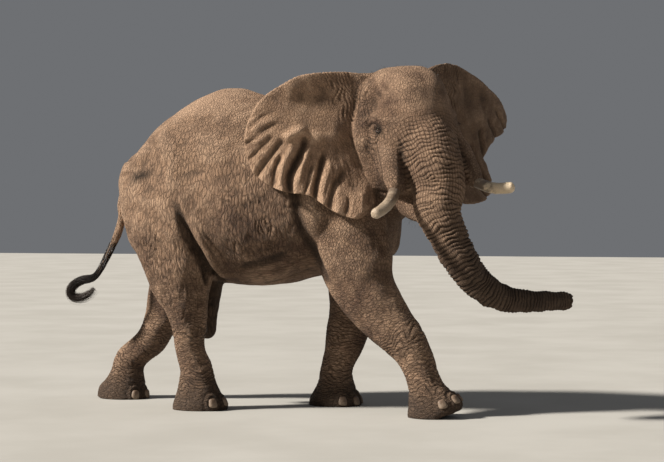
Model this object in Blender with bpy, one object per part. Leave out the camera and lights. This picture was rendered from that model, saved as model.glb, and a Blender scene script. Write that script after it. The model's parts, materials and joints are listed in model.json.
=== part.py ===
"""An African bush elephant bull in mid stride, life-size, as a still museum model.

Metres, +Z up, the body along +X with the head turned to its right, towards -Y.
Every sub-part is one closed solid, and neighbours meet across a gap of GAP.
"""

import math

import bmesh
import bpy
import numpy as np
from mathutils import Matrix, Vector

# Driving sizes. The shapes are laid out in the body frame, whose origin is on the floor under the
# belly, and the finished model is then moved so that its box is centred over the origin.
GAP = 0.0003  # between neighbouring solids
HEAD_CENTRE = (0.78, -0.24, 2.66)  # midway between the ears
HEAD_TURN = -50.0  # degrees, to the animal's right
HEAD_ROLL = 5.0  # degrees, right ear lower
BLEND_VOXEL = 0.028  # grid on which the muscles are joined
HEAD_SOCKET_GAP = 0.0009  # between the head and the neck, whose faces turn sharply
BLEND_PASSES = 6  # rounds of smoothing over the joins
CRUMB_FACES = 12  # a loose body with fewer faces is a leftover of a cut
HEAD_TRIANGLES = 880
BODY_TRIANGLES = 1200
RING_POINTS = 28
TRIM_POINTS = 8  # round a tail, a tusk or a lock
EYE_RADIUS = 0.029
EYE_PLACE = (0.275, 0.393, 0.03)  # forward, left, up in the head's axes
TUSK_ROOT = (0.40, 0.33, -0.32)  # inside the sheath
TUSK_CORNER = (0.62, 0.40, -0.62)  # where the directions of its two ends meet
TUSK_TIP_RIGHT = (0.80, 0.742, -0.705)
TUSK_TIP_LEFT = (0.84, 0.620, -0.585)
TUSK_RADIUS = 0.056
TUSK_TAPER = 0.12  # share of its radius that a tusk loses down to its tip
TUSK_END = ((0.018, 0.66), (0.030, 0.40), (0.034, 0.10))  # past the tip, and share of the radius
NAIL_SIZE = (0.022, 0.040, 0.044)  # half depth, half width, half height
NAIL_HEIGHT = 0.066  # above the sole
NAIL_SINK = (0.012, 0.008)  # how far in from the foot's rim, in front and at the sides
NAIL_CLEARANCE = 0.006  # between the lowest nail and the floor
EAR_THICKNESS = 0.018  # half, at the root
EAR_RIM = 0.008  # how far the rim rounds out

# Stations of the trunk of the body: x, widest height, half width, reach up, reach down.
TORSO = (
    (-2.165, 2.14, 0.01, 0.01, 0.01),
    (-2.150, 2.13, 0.15, 0.16, 0.20),
    (-2.10, 2.10, 0.28, 0.33, 0.42),
    (-1.98, 2.06, 0.43, 0.50, 0.60),
    (-1.80, 2.02, 0.56, 0.70, 0.70),
    (-1.55, 1.98, 0.66, 0.94, 0.72),
    (-1.25, 1.95, 0.72, 1.12, 0.72),
    (-0.95, 1.92, 0.76, 1.19, 0.72),
    (-0.60, 1.90, 0.78, 1.12, 0.71),
    (-0.25, 1.92, 0.74, 1.02, 0.66),
    (0.10, 1.97, 0.66, 0.97, 0.64),
    (0.38, 2.02, 0.54, 0.90, 0.62),
    (0.56, 2.05, 0.40, 0.72, 0.53),
    (0.65, 2.05, 0.22, 0.45, 0.35),
    (0.67, 2.05, 0.01, 0.02, 0.02),
)
# Stations of the neck: x, y, z, half width, reach up, reach down.
NECK = (
    (-0.10, 0.04, 2.20, 0.42, 0.66, 0.60),
    (0.25, 0.00, 2.26, 0.42, 0.68, 0.60),
    (0.52, -0.11, 2.36, 0.40, 0.64, 0.56),
    (0.78, -0.26, 2.46, 0.38, 0.56, 0.50),
)
# Stations of a leg: x, height, half width, reach forward, reach back.
FORE_RIGHT = (
    (0.22, 2.20, 0.16, 0.30, 0.36),
    (0.26, 1.88, 0.215, 0.36, 0.42),
    (0.33, 1.54, 0.25, 0.37, 0.38),
    (0.43, 1.20, 0.22, 0.31, 0.31),
    (0.62, 0.95, 0.20, 0.245, 0.25),
    (0.78, 0.76, 0.185, 0.215, 0.22),
    (0.92, 0.55, 0.16, 0.17, 0.175),
)
FORE_LEFT = (
    (0.15, 2.20, 0.16, 0.30, 0.36),
    (0.16, 1.85, 0.23, 0.36, 0.38),
    (0.14, 1.50, 0.25, 0.34, 0.34),
    (0.12, 1.15, 0.22, 0.27, 0.27),
    (0.08, 0.85, 0.20, 0.225, 0.225),
    (0.02, 0.60, 0.175, 0.195, 0.195),
)
HIND_RIGHT = (
    (-1.50, 2.10, 0.20, 0.46, 0.44),
    (-1.47, 1.78, 0.26, 0.45, 0.46),
    (-1.43, 1.48, 0.27, 0.40, 0.40),
    (-1.40, 1.22, 0.24, 0.32, 0.33),
    (-1.36, 0.99, 0.20, 0.215, 0.23),
    (-1.335, 0.80, 0.165, 0.165, 0.175),
    (-1.320, 0.60, 0.155, 0.15, 0.155),
)
HIND_LEFT = (
    (-1.60, 2.10, 0.20, 0.44, 0.44),
    (-1.64, 1.75, 0.26, 0.42, 0.42),
    (-1.70, 1.42, 0.26, 0.34, 0.34),
    (-1.79, 1.10, 0.23, 0.26, 0.26),
    (-1.90, 0.85, 0.19, 0.20, 0.20),
    (-2.02, 0.62, 0.165, 0.165, 0.17),
)
# A foot above its sole: height, half width, reach forward, reach back.
FORE_FOOT = (
    (0.34, 0.152, 0.155, 0.160),
    (0.22, 0.172, 0.180, 0.180),
    (0.12, 0.208, 0.230, 0.215),
    (0.04, 0.225, 0.262, 0.240),
    (-0.05, 0.222, 0.262, 0.240),
)
HIND_FOOT = (
    (0.36, 0.150, 0.160, 0.165),
    (0.24, 0.162, 0.185, 0.190),
    (0.13, 0.188, 0.235, 0.225),
    (0.04, 0.208, 0.275, 0.255),
    (-0.05, 0.206, 0.278, 0.258),
)


# Stations of the upper head, crown to palate, in the head's axes: forward, up, half width, reach forward, back.
CRANIUM = (
    (0.06, 0.625, 0.01, 0.01, 0.01),
    (0.06, 0.61, 0.12, 0.14, 0.14),
    (0.06, 0.56, 0.24, 0.27, 0.27),
    (0.07, 0.46, 0.33, 0.38, 0.38),
    (0.09, 0.32, 0.38, 0.44, 0.44),
    (0.11, 0.15, 0.40, 0.48, 0.48),
    (0.13, -0.02, 0.43, 0.49, 0.50),
    (0.16, -0.20, 0.43, 0.48, 0.50),
    (0.20, -0.38, 0.39, 0.44, 0.45),
    (0.18, -0.50, 0.30, 0.32, 0.36),
    (0.13, -0.585, 0.18, 0.19, 0.24),
    (0.13, -0.615, 0.01, 0.01, 0.01),
)
# Stations of the lower jaw: forward, up, half width, half depth.
JAW = (
    (-0.25, -0.22, 0.30, 0.20),
    (-0.12, -0.42, 0.27, 0.22),
    (0.03, -0.58, 0.235, 0.185),
    (0.16, -0.70, 0.19, 0.14),
    (0.28, -0.775, 0.13, 0.095),
    (0.355, -0.80, 0.07, 0.055),
    (0.385, -0.805, 0.01, 0.01),
)
# Temple and cheekbone, left side: forward, left, up, radius.
CHEEK = (
    (0.02, 0.24, 0.50, 0.05),
    (0.01, 0.28, 0.42, 0.12),
    (0.00, 0.34, 0.25, 0.135),
    (0.00, 0.39, 0.05, 0.14),
    (0.02, 0.37, -0.14, 0.135),
    (0.06, 0.33, -0.30, 0.10),
    (0.08, 0.30, -0.38, 0.04),
)
# Sheath of a tusk, left side: forward, left, up, radius.
TUSK_SHEATH = (
    (0.16, 0.28, 0.02, 0.10),
    (0.32, 0.32, -0.18, 0.125),
    (0.46, 0.36, -0.36, 0.115),
    (0.56, 0.403, -0.50, 0.088),
    (0.585, 0.418, -0.54, 0.07),
)
# The trunk's root, in the head's axes: forward, up, half width, half depth.
TRUNK_ROOT = (
    (0.24, 0.24, 0.20, 0.16),
    (0.36, 0.06, 0.24, 0.22),
    (0.48, -0.15, 0.262, 0.26),
    (0.56, -0.35, 0.262, 0.27),
    (0.61, -0.53, 0.245, 0.25),
)
# The free trunk, in the body frame: x, y, z, half width, half depth.
TRUNK = (
    (1.215, -0.754, 1.925, 0.215, 0.22),
    (1.305, -0.769, 1.726, 0.182, 0.185),
    (1.414, -0.759, 1.490, 0.168, 0.165),
    (1.566, -0.695, 1.273, 0.148, 0.143),
    (1.753, -0.589, 1.137, 0.128, 0.122),
    (1.993, -0.447, 1.092, 0.106, 0.102),
    (2.232, -0.295, 1.092, 0.088, 0.086),
    (2.315, -0.242, 1.088, 0.076, 0.074),
    (2.343, -0.221, 1.085, 0.055, 0.055),
    (2.352, -0.215, 1.085, 0.01, 0.01),
)


# Outline of an ear from the top of its root: distance out from the root, height.
EAR_RIGHT = (
    (-0.13, 0.555),
    (0.10, 0.605),
    (0.40, 0.62),
    (0.60, 0.60),
    (0.76, 0.53),
    (0.93, 0.435),
    (1.06, 0.29),
    (1.14, 0.10),
    (1.15, -0.08),
    (1.10, -0.24),
    (0.93, -0.385),
    (0.70, -0.48),
    (0.50, -0.52),
    (0.30, -0.63),
    (0.06, -0.735),
    (-0.12, -0.76),
    (-0.17, -0.68),
    (-0.10, -0.48),
    (-0.07, -0.15),
    (-0.08, 0.25),
)
# The other ear, whose upper corner is folded away and whose hem is drawn in.
EAR_LEFT = (
    (-0.13, 0.555),
    (0.02, 0.625),
    (0.24, 0.625),
    (0.50, 0.525),
    (0.78, 0.39),
    (1.02, 0.26),
    (1.17, 0.08),
    (1.12, -0.03),
    (0.86, -0.13),
    (0.65, -0.25),
    (0.57, -0.38),
    (0.51, -0.52),
    (0.34, -0.64),
    (0.06, -0.73),
    (-0.16, -0.71),
    (-0.16, -0.50),
    (-0.07, -0.15),
    (-0.08, 0.25),
)
EAR_OUTLINES = {"right": EAR_RIGHT, "left": EAR_LEFT}
EAR_MIDDLE = (0.32, 0.0)  # out from the root and up, where the rings of an ear close
EAR_ROOT = (-0.03, 0.395)  # forward and left of the head's centre
EAR_SWEEP = {"right": (6.0, 34.0), "left": (12.0, 38.0)}  # degrees back, at the root and at the edge
EAR_SPAN = 1.05  # from the root to the edge
EAR_FLARE = 0.28  # how far the lobe stands out from the shoulder
EAR_ADVANCE = 0.12  # how far the lobe stands forward
EAR_FLARE_START = -0.15  # height where it starts to stand out
EAR_FLARE_REACH = 0.60  # how far below that it stands out by EAR_FLARE
# The tail down to the end of its tuft: x, height, radius.
TAIL = (
    (-2.02, 2.22, 0.075),
    (-2.14, 2.12, 0.068),
    (-2.20, 1.98, 0.052),
    (-2.205, 1.84, 0.044),
    (-2.255, 1.668, 0.038),
    (-2.363, 1.466, 0.032),
    (-2.475, 1.275, 0.027),
    (-2.53, 1.240, 0.034),
    (-2.62, 1.225, 0.036),
    (-2.715, 1.180, 0.036),
    (-2.765, 1.115, 0.034),
    (-2.74, 1.055, 0.032),
    (-2.65, 1.045, 0.028),
    (-2.56, 1.085, 0.020),
    (-2.50, 1.14, 0.008),
)
# Cuts across the tail: the centre on its axis and the direction of the axis there, along X and Z.
TAIL_CUTS = (((-2.2075, 1.82), (-0.2, -1.0)), ((-2.45, 1.315), (-0.52, -0.86)))
# About where the middle of each length is.
PLACES_TAIL = {"tail_upper": (-2.12, 0.0, 2.03), "tail_lower": (-2.33, 0.0, 1.58), "tail_tuft": (-2.62, 0.0, 1.20)}
# The sheath that hangs between the hind legs: x, height, radius.
SHEATH = (
    (-1.24, 1.32, 0.13),
    (-1.26, 1.12, 0.115),
    (-1.275, 0.92, 0.105),
    (-1.285, 0.78, 0.10),
    (-1.29, 0.70, 0.08),
    (-1.292, 0.655, 0.03),
)


class Leg:
    """One leg: its stations, its foot and where the sole stands."""

    def __init__(self, name, stations, foot, top_y, sole, pitch, nail_angles):
        self.name = name
        self.stations = stations
        self.foot = foot
        self.top_y = top_y
        self.sole = sole
        self.pitch = pitch
        self.nail_angles = nail_angles


# Angles of the toenails round a foot, in degrees from straight ahead.
FORE_NAILS = (-58.0, -20.0, 20.0, 58.0)
HIND_NAILS = (-42.0, 0.0, 42.0)
LEGS = (
    Leg("fore_right", FORE_RIGHT, FORE_FOOT, -0.42, (1.115, -0.39, 0.035), 20.0, FORE_NAILS),
    Leg("fore_left", FORE_LEFT, FORE_FOOT, 0.42, (-0.075, 0.35, 0.0), -3.0, FORE_NAILS),
    Leg("hind_right", HIND_RIGHT, HIND_FOOT, -0.40, (-1.235, -0.38, 0.0), 3.0, HIND_NAILS),
    Leg("hind_left", HIND_LEFT, HIND_FOOT, 0.40, (-2.36, 0.37, 0.0), -14.0, HIND_NAILS),
)
# About where the middle of each piece is, once the thin cuts have parted it.
PLACES_HEAD = {
    "head": (0.95, -0.35, 2.65),
    "lower_jaw": (0.90, -0.40, 2.05),
    "trunk_1": (1.27, -0.76, 1.80),
    "trunk_2": (1.45, -0.74, 1.45),
    "trunk_3": (1.75, -0.59, 1.15),
    "trunk_4": (2.20, -0.32, 1.09),
}
PLACES_BODY = {
    "torso": (-0.15, 0.0, 2.10),
    "hindquarters": (-1.50, 0.0, 2.00),
    "neck": (0.65, -0.1, 2.40),
    "leg_fore_right_upper": (0.50, -0.42, 1.10),
    "leg_fore_right_lower": (0.95, -0.40, 0.50),
    "leg_fore_right_foot": (1.10, -0.39, 0.12),
    "leg_fore_left_upper": (0.10, 0.40, 1.00),
    "leg_fore_left_lower": (-0.02, 0.37, 0.50),
    "leg_fore_left_foot": (-0.07, 0.35, 0.12),
    "leg_hind_right_upper": (-1.38, -0.40, 1.00),
    "leg_hind_right_lower": (-1.31, -0.39, 0.48),
    "leg_hind_right_foot": (-1.24, -0.38, 0.12),
    "leg_hind_left_upper": (-1.85, 0.40, 0.95),
    "leg_hind_left_lower": (-2.15, 0.38, 0.45),
    "leg_hind_left_foot": (-2.36, 0.37, 0.12),
}
# Cuts across the trunk: the centre on its axis, the direction of the axis there and the cut's width.
TRUNK_CUTS = (
    ((1.350, -0.768, 1.62), (0.11, 0.0, -0.24), 0.48),
    ((1.640, -0.655, 1.20), (0.19, 0.10, -0.14), 0.44),
    ((1.950, -0.470, 1.10), (0.24, 0.14, -0.02), 0.36),
)
# Where each leg leaves the body: x, height and how much lower the cut runs for each metre towards the rear.
LEG_TOPS = ((0.42, 1.365, 0.0), (0.13, 1.33, 0.30), (-1.42, 1.245, 0.0), (-1.76, 1.245, 0.0))
LEG_TOP_MIDDLE = 0.43  # y of the middle of each of those cuts
LEG_TOP_LEAN = 0.28  # how much higher they run for each metre outwards
LEG_TOP_SIZE = (0.66, 1.15)  # across and along
LEG_CUT_WIDTH = 0.62
# Cuts across a leg: height and the axis there, lowest last, for each leg in the order of LEGS.
LEG_CUTS = (
    ((0.74, (0.80, 0.0, -0.90)), (0.25, (0.35, 0.0, -0.94))),
    ((0.70, (-0.20, 0.0, -1.0)), (0.25, (-0.05, 0.0, -1.0))),
    ((0.76, (0.06, 0.0, -1.0)), (0.25, (0.10, 0.0, -1.0))),
    ((0.72, (-0.55, 0.0, -1.0)), (0.27, (-0.45, 0.0, -1.0))),
)
# The thin cut that parts the jaw from the head, in the head's axes: forward and up.
MOUTH_FRONT = (0.425, -0.645)
MOUTH_REAR = (-0.60, -0.28)
MOUTH_WIDTH = 1.1
TRUNK_BASE = (0.70, -0.690)  # where the trunk is parted from the head
TRUNK_BASE_SIZE = (0.60, 0.58)
# The thin cut along the neck, in the body frame: x and height.
NECK_TOP = (0.00, 3.20)
NECK_FOOT = (0.70, 1.72)
NECK_WIDTH = 1.9
LOIN = (-0.95, 2.0)  # x and height of the middle of the cut between torso and hindquarters
LOIN_SIZE = (2.4, 3.0)
# Colour and roughness of each kind of piece, the first name that fits. None is metallic.
FINISHES = (
    ("tusk_left", (0.62, 0.44, 0.28), 0.45),
    ("tusk_right", (0.24, 0.18, 0.13), 0.55),
    ("eye", (0.030, 0.016, 0.010), 0.08),
    ("toenail", (0.20, 0.15, 0.11), 0.60),
    ("tail_tuft", (0.035, 0.018, 0.010), 0.70),
    ("tail", (0.11, 0.068, 0.043), 0.90),
    ("ear", (0.140, 0.090, 0.058), 0.88),
    ("trunk", (0.130, 0.083, 0.054), 0.90),
    ("head", (0.210, 0.133, 0.083), 0.88),
    ("leg", (0.145, 0.090, 0.056), 0.92),
    ("", (0.185, 0.112, 0.070), 0.90),
)
SHARP_ANGLE = 50.0  # degrees, edges sharper than this stay crisp


def clear_scene():
    """Removes every object."""
    for thing in list(bpy.data.objects):
        bpy.data.objects.remove(thing, do_unlink=True)


def head_frame():
    """The head's own axes (forward, left, up) in the body frame."""
    turn = Matrix.Rotation(math.radians(HEAD_TURN), 4, "Z")
    roll = Matrix.Rotation(math.radians(HEAD_ROLL), 4, "X")
    return Matrix.Translation(HEAD_CENTRE) @ turn @ roll


def carried(stations, per):
    """Rows of stations, smoothed by a cubic that passes through each, with per rows to a stretch."""
    rows = np.asarray(stations, float)
    along = np.concatenate([[0.0], np.cumsum(np.linalg.norm(np.diff(rows[:, :3], axis=0), axis=1))])
    slope = np.gradient(rows, along, axis=0)
    t = np.concatenate([np.linspace(a, b, per, endpoint=False) for a, b in zip(along, along[1:])])
    t = np.append(t, along[-1])
    i = np.clip(np.searchsorted(along, t, side="right") - 1, 0, len(along) - 2)
    span = (along[i + 1] - along[i])[:, None]
    s = (t - along[i])[:, None] / span
    start = rows[i] * (2 * s**3 - 3 * s**2 + 1) + slope[i] * span * (s**3 - 2 * s**2 + s)
    return start + rows[i + 1] * (3 * s**2 - 2 * s**3) + slope[i + 1] * span * (s**3 - s**2)


def ring_frames(centres, side, upright):
    """Side and front directions at each centre: square to the path, or fixed when upright is given."""
    if upright is not None:
        return np.tile(side, (len(centres), 1)), np.tile(upright, (len(centres), 1))
    ahead = np.gradient(centres, axis=0)
    ahead /= np.linalg.norm(ahead, axis=1)[:, None]
    sides = []
    for direction in ahead:
        side = side - direction * (side @ direction)
        side = side / np.linalg.norm(side)
        sides.append(side)
    sides = np.array(sides)
    return sides, np.cross(ahead, sides)


def loft(stations, side=(0.0, 1.0, 0.0), upright=None, per=3, points=RING_POINTS):
    """A closed form through elliptical sections.

    Each station holds x, y, z, half width, reach to the front and reach to the back.
    """
    rows = carried(stations, per)
    sides, fronts = ring_frames(rows[:, :3], np.asarray(side, float), upright)
    angle = np.linspace(0, 2 * math.pi, points, endpoint=False)
    across = np.cos(angle)
    along = np.sin(angle)
    reach = np.where(along[None, :] >= 0, rows[:, 4:5], rows[:, 5:6]) * along[None, :]
    rings = (
        rows[:, None, :3]
        + sides[:, None, :] * (rows[:, 3:4] * across[None, :])[..., None]
        + fronts[:, None, :] * reach[..., None]
    )
    form = bmesh.new()
    loops = [[form.verts.new(p) for p in ring] for ring in rings]
    for low, high in zip(loops, loops[1:]):
        for j in range(points):
            k = (j + 1) % points
            form.faces.new((low[j], low[k], high[k], high[j]))
    form.faces.new(loops[0][::-1])
    form.faces.new(loops[-1])
    bmesh.ops.triangulate(form, faces=form.faces)
    return form


def in_head(rows, mirror=1.0):
    """Stations given as forward, left, up and sizes, moved from the head's axes to the body frame."""
    frame = head_frame()
    moved = []
    for forward, left, up, *sizes in rows:
        moved.append((*(frame @ Vector((forward, mirror * left, up))), *sizes))
    return moved


def leg_stations(leg, shape, y_top, sole, pitch):
    """A leg's stations down to its foot, whose sole is centred at sole and tipped up by pitch degrees."""
    rows = []
    top = leg[0][1]
    for x, z, width, fore, back in leg:
        share = (top - z) / (top - sole[2])
        rows.append((x, y_top + (sole[1] - y_top) * share, z, width, fore, back))
    lean = math.radians(pitch)
    for height, width, fore, back in shape:
        x = sole[0] - math.sin(lean) * height
        z = sole[2] + math.cos(lean) * height
        rows.append((x, sole[1], z, width, fore, back))
    return rows


def head_forms():
    """The forms of the head and trunk, as closed meshes that run into each other."""
    axes = head_frame().to_3x3()
    left = np.array(axes.col[1])
    forward = np.array(axes.col[0])
    cranium = in_head([(f, 0.0, u, w, fore, back) for f, u, w, fore, back in CRANIUM])
    jaw = in_head([(f, 0.0, u, w, d, d) for f, u, w, d in JAW])
    trunk = in_head([(f, 0.0, u, w, d, d) for f, u, w, d in TRUNK_ROOT])
    trunk += [(x, y, z, w, d, d) for x, y, z, w, d in TRUNK]
    forms = [loft(cranium, side=left, upright=forward), loft(jaw, side=left), loft(trunk, side=left)]
    for mirror in (1.0, -1.0):
        for rows in (TUSK_SHEATH, CHEEK):
            form = in_head([(f, s, u, r, r, r) for f, s, u, r in rows], mirror)
            forms.append(loft(form, side=left))
    return forms


def body_forms():
    """The forms of the torso, neck and legs, as closed meshes that run into each other."""
    torso = [(x, 0.0, z, width, up, down) for x, z, width, up, down in TORSO]
    sheath = [(x, 0.0, z, r, r, r) for x, z, r in SHEATH]
    forms = [loft(torso, upright=np.array((0.0, 0.0, 1.0))), loft(NECK), loft(sheath)]
    for leg in LEGS:
        forms.append(loft(leg_stations(leg.stations, leg.foot, leg.top_y, leg.sole, leg.pitch)))
    return forms


def mesh_object(name, form):
    """An object that holds the bmesh form, which is freed."""
    mesh = bpy.data.meshes.new(name)
    form.to_mesh(mesh)
    form.free()
    thing = bpy.data.objects.new(name, mesh)
    bpy.context.collection.objects.link(thing)
    return thing


def merged(forms):
    """One bmesh that holds every form."""
    whole = bmesh.new()
    for form in forms:
        mesh = bpy.data.meshes.new("form")
        form.to_mesh(mesh)
        form.free()
        whole.from_mesh(mesh)
        bpy.data.meshes.remove(mesh)
    return whole


def settle(thing):
    """Replaces an object's mesh by what its modifiers make of it."""
    graph = bpy.context.evaluated_depsgraph_get()
    mesh = bpy.data.meshes.new_from_object(thing.evaluated_get(graph))
    old = thing.data
    thing.modifiers.clear()
    thing.data = mesh
    bpy.data.meshes.remove(old)


def blended(name, forms, triangles):
    """The forms as one skin, its creases filled, in about the number of triangles given."""
    thing = mesh_object(name, merged(forms))
    blend = thing.modifiers.new("blend", "REMESH")
    blend.mode = "VOXEL"
    blend.voxel_size = BLEND_VOXEL
    soften = thing.modifiers.new("soften", "SMOOTH")
    soften.factor = 0.5
    soften.iterations = BLEND_PASSES
    settle(thing)
    thin = thing.modifiers.new("thin", "DECIMATE")
    thin.ratio = triangles / (2 * len(thing.data.polygons))
    thin.use_collapse_triangulate = True
    settle(thing)
    return thing


def grown(form, distance):
    """A copy of the form with each point moved out by distance."""
    copy = form.copy()
    bmesh.ops.recalc_face_normals(copy, faces=copy.faces)
    copy.normal_update()
    shifts = [(vert, vert.normal * distance) for vert in copy.verts]
    for vert, shift in shifts:
        vert.co += shift
    return copy


def slab(centre, normal, across, width, length):
    """A wall GAP thick at centre, square to normal, of the given width along across and the given length."""
    normal = Vector(normal).normalized()
    across = Vector(across)
    across = (across - normal * across.dot(normal)).normalized()
    along = normal.cross(across)
    turn = Matrix((across, along, normal)).transposed().to_4x4()
    size = Matrix.Diagonal((width, length, GAP, 1.0))
    form = bmesh.new()
    bmesh.ops.create_cube(form, size=1.0, matrix=Matrix.Translation(centre) @ turn @ size)
    return form


def cut(thing, forms):
    """Takes the forms away from thing, in one exact Boolean."""
    cutter = mesh_object(thing.name + "_cutter", merged(forms))
    cutter.hide_render = True
    cutter.display_type = "WIRE"
    trim = thing.modifiers.new("trim", "BOOLEAN")
    trim.operation = "DIFFERENCE"
    trim.solver = "EXACT"
    trim.use_self = True
    trim.object = cutter
    settle(thing)
    bpy.data.objects.remove(cutter, do_unlink=True)


def loose_parts(thing):
    """Splits an object into its separate bodies and drops the crumbs that an ear's slot leaves."""
    for other in bpy.context.view_layer.objects:
        other.select_set(False)
    thing.select_set(True)
    bpy.context.view_layer.objects.active = thing
    bpy.ops.object.mode_set(mode="EDIT")
    bpy.ops.mesh.select_all(action="SELECT")
    bpy.ops.mesh.separate(type="LOOSE")
    bpy.ops.object.mode_set(mode="OBJECT")
    pieces = list(bpy.context.selected_objects)
    for crumb in [p for p in pieces if len(p.data.polygons) < CRUMB_FACES]:
        pieces.remove(crumb)
        bpy.data.objects.remove(crumb)
    return pieces


def middle(thing):
    """The middle of an object's box."""
    points = np.array([vert.co for vert in thing.data.vertices])
    return (points.min(axis=0) + points.max(axis=0)) / 2


def name_parts(pieces, places):
    """Names each piece after the nearest of the named places."""
    if len(pieces) != len(places):
        found = sorted((len(p.data.polygons), *np.round(middle(p), 2).tolist()) for p in pieces)
        raise RuntimeError(f"{len(pieces)} bodies for {len(places)} names: {found}")
    left = dict(places)
    for piece in sorted(pieces, key=lambda p: -len(p.data.polygons)):
        here = middle(piece)
        name = min(left, key=lambda n: float(np.linalg.norm(np.array(left[n]) - here)))
        piece.name = name
        piece.data.name = name
        del left[name]


def ear_form(side):
    """An ear as a closed curved sheet: rings of points shrink from the outline to the middle on both faces.

    The sheet leaves the head at one sweep and turns back to another at its edge, at a steady rate.
    """
    mirror = 1.0 if side == "left" else -1.0
    start, end = (math.radians(a) for a in EAR_SWEEP[side])
    rate = (end - start) / EAR_SPAN
    frame = head_frame()

    def place(out, height, lift):
        """The point of the curved sheet at a distance out and a height, lifted off its middle surface."""
        angle = start + rate * out
        lateral = EAR_ROOT[1] + (math.sin(angle) - math.sin(start)) / rate
        back = (math.cos(start) - math.cos(angle)) / rate
        fall = max(0.0, (EAR_FLARE_START - height) / EAR_FLARE_REACH) ** 2
        lateral += EAR_FLARE * fall + lift * math.sin(angle)
        forward = EAR_ROOT[0] - back + EAR_ADVANCE * fall + lift * math.cos(angle)
        return frame @ Vector((forward, mirror * lateral, height))

    outline = np.array(EAR_OUTLINES[side] + EAR_OUTLINES[side][:1])
    padded = np.column_stack([outline, np.zeros(len(outline))])
    points = carried(padded, 2)[:-1, :2]
    centre = np.array(EAR_MIDDLE)
    shares = (1.0, 0.70, 0.30)
    form = bmesh.new()
    faces = []
    for sign in (1.0, -1.0):
        rings = []
        for share in shares:
            half = EAR_THICKNESS * (1.0 - 0.55 * share) * sign
            rings.append([form.verts.new(place(*(centre + (p - centre) * share), half)) for p in points])
        faces.append(rings)
        for outer, inner in zip(rings, rings[1:]):
            for j in range(len(points)):
                k = (j + 1) % len(points)
                form.faces.new((outer[j], outer[k], inner[k], inner[j]))
        form.faces.new(rings[-1])
    count = len(points)
    rim = [centre + (p - centre) * (1.0 + EAR_RIM / np.linalg.norm(p - centre)) for p in points]
    edge = [form.verts.new(place(*p, 0.0)) for p in rim]
    for rings in faces:
        for j in range(count):
            k = (j + 1) % count
            form.faces.new((rings[0][j], rings[0][k], edge[k], edge[j]))
    bmesh.ops.recalc_face_normals(form, faces=form.faces)
    bmesh.ops.triangulate(form, faces=form.faces)
    return form


def ball(centre, sizes, turn=None, columns=8, rows=4):
    """An ellipsoid with the half sizes given, turned by a matrix."""
    turn = Matrix.Identity(4) if turn is None else turn
    form = bmesh.new()
    where = Matrix.Translation(centre) @ turn @ Matrix.Diagonal((*sizes, 1.0))
    bmesh.ops.create_uvsphere(form, u_segments=columns, v_segments=rows, radius=1.0, matrix=where)
    bmesh.ops.triangulate(form, faces=form.faces)
    return form


def eye_form(mirror):
    """An eyeball, on the left side for a mirror of 1 and on the right for -1."""
    forward, left, up = EYE_PLACE
    centre = head_frame() @ Vector((forward, mirror * left, up))
    return ball(centre, (EYE_RADIUS,) * 3, columns=12, rows=7)


def tusk_form(mirror):
    """A tusk from inside its sheath to its blunt tip, bent gently upwards."""
    tip = Vector(TUSK_TIP_LEFT if mirror > 0 else TUSK_TIP_RIGHT)
    root = Vector(TUSK_ROOT)
    corner = Vector(TUSK_CORNER)
    rows = []
    for share in np.linspace(0.0, 1.0, 8):
        bend = root.lerp(corner, share).lerp(corner.lerp(tip, share), share)
        radius = TUSK_RADIUS * (1.0 - TUSK_TAPER * share)
        rows.append((bend.x, bend.y, bend.z, radius, radius, radius))
    ahead = (tip - corner).normalized()
    for reach, size in TUSK_END:
        end = tip + ahead * reach
        rows.append((end.x, end.y, end.z, *(TUSK_RADIUS * size,) * 3))
    left = np.array(head_frame().to_3x3().col[1])
    return loft(in_head(rows, mirror), side=left, per=1, points=TRIM_POINTS + 2)


def tail_form():
    """The whole tail with its tuft."""
    rows = [(x, 0.0, z, r, r, r) for x, z, r in TAIL]
    return loft(rows, per=2, points=TRIM_POINTS)


def tail_cuts():
    """The thin cuts that part the tail in two lengths and the tuft."""
    side = (0.0, 1.0, 0.0)
    return [slab(Vector((x, 0.0, z)), (ahead, 0.0, fall), side, 0.2, 0.2) for (x, z), (ahead, fall) in TAIL_CUTS]


def nail_forms(leg):
    """A leg's toenails, set round the front of the foot and tipped with it."""
    lean = Matrix.Rotation(-math.radians(leg.pitch), 4, "Y")
    sole = Matrix.Translation(leg.sole) @ lean
    half_width = leg.foot[3][1]
    reach = leg.foot[3][2]
    forms = []
    for angle in leg.nail_angles:
        turn = math.radians(angle)
        ahead = math.cos(turn) * (reach - NAIL_SINK[0])
        aside = math.sin(turn) * (half_width - NAIL_SINK[1])
        spot = sole @ Vector((ahead, aside, NAIL_HEIGHT))
        spot.z = max(spot.z, NAIL_SIZE[2] + NAIL_CLEARANCE)
        forms.append(ball(spot, NAIL_SIZE, lean @ Matrix.Rotation(turn, 4, "Z")))
    return forms


def leg_axis(leg, height):
    """The middle of a leg at a height."""
    rows = np.array(leg_stations(leg.stations, leg.foot, leg.top_y, leg.sole, leg.pitch))
    order = np.argsort(rows[:, 2])
    return [float(np.interp(height, rows[order, 2], rows[order, axis])) for axis in (0, 1)] + [height]


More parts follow.
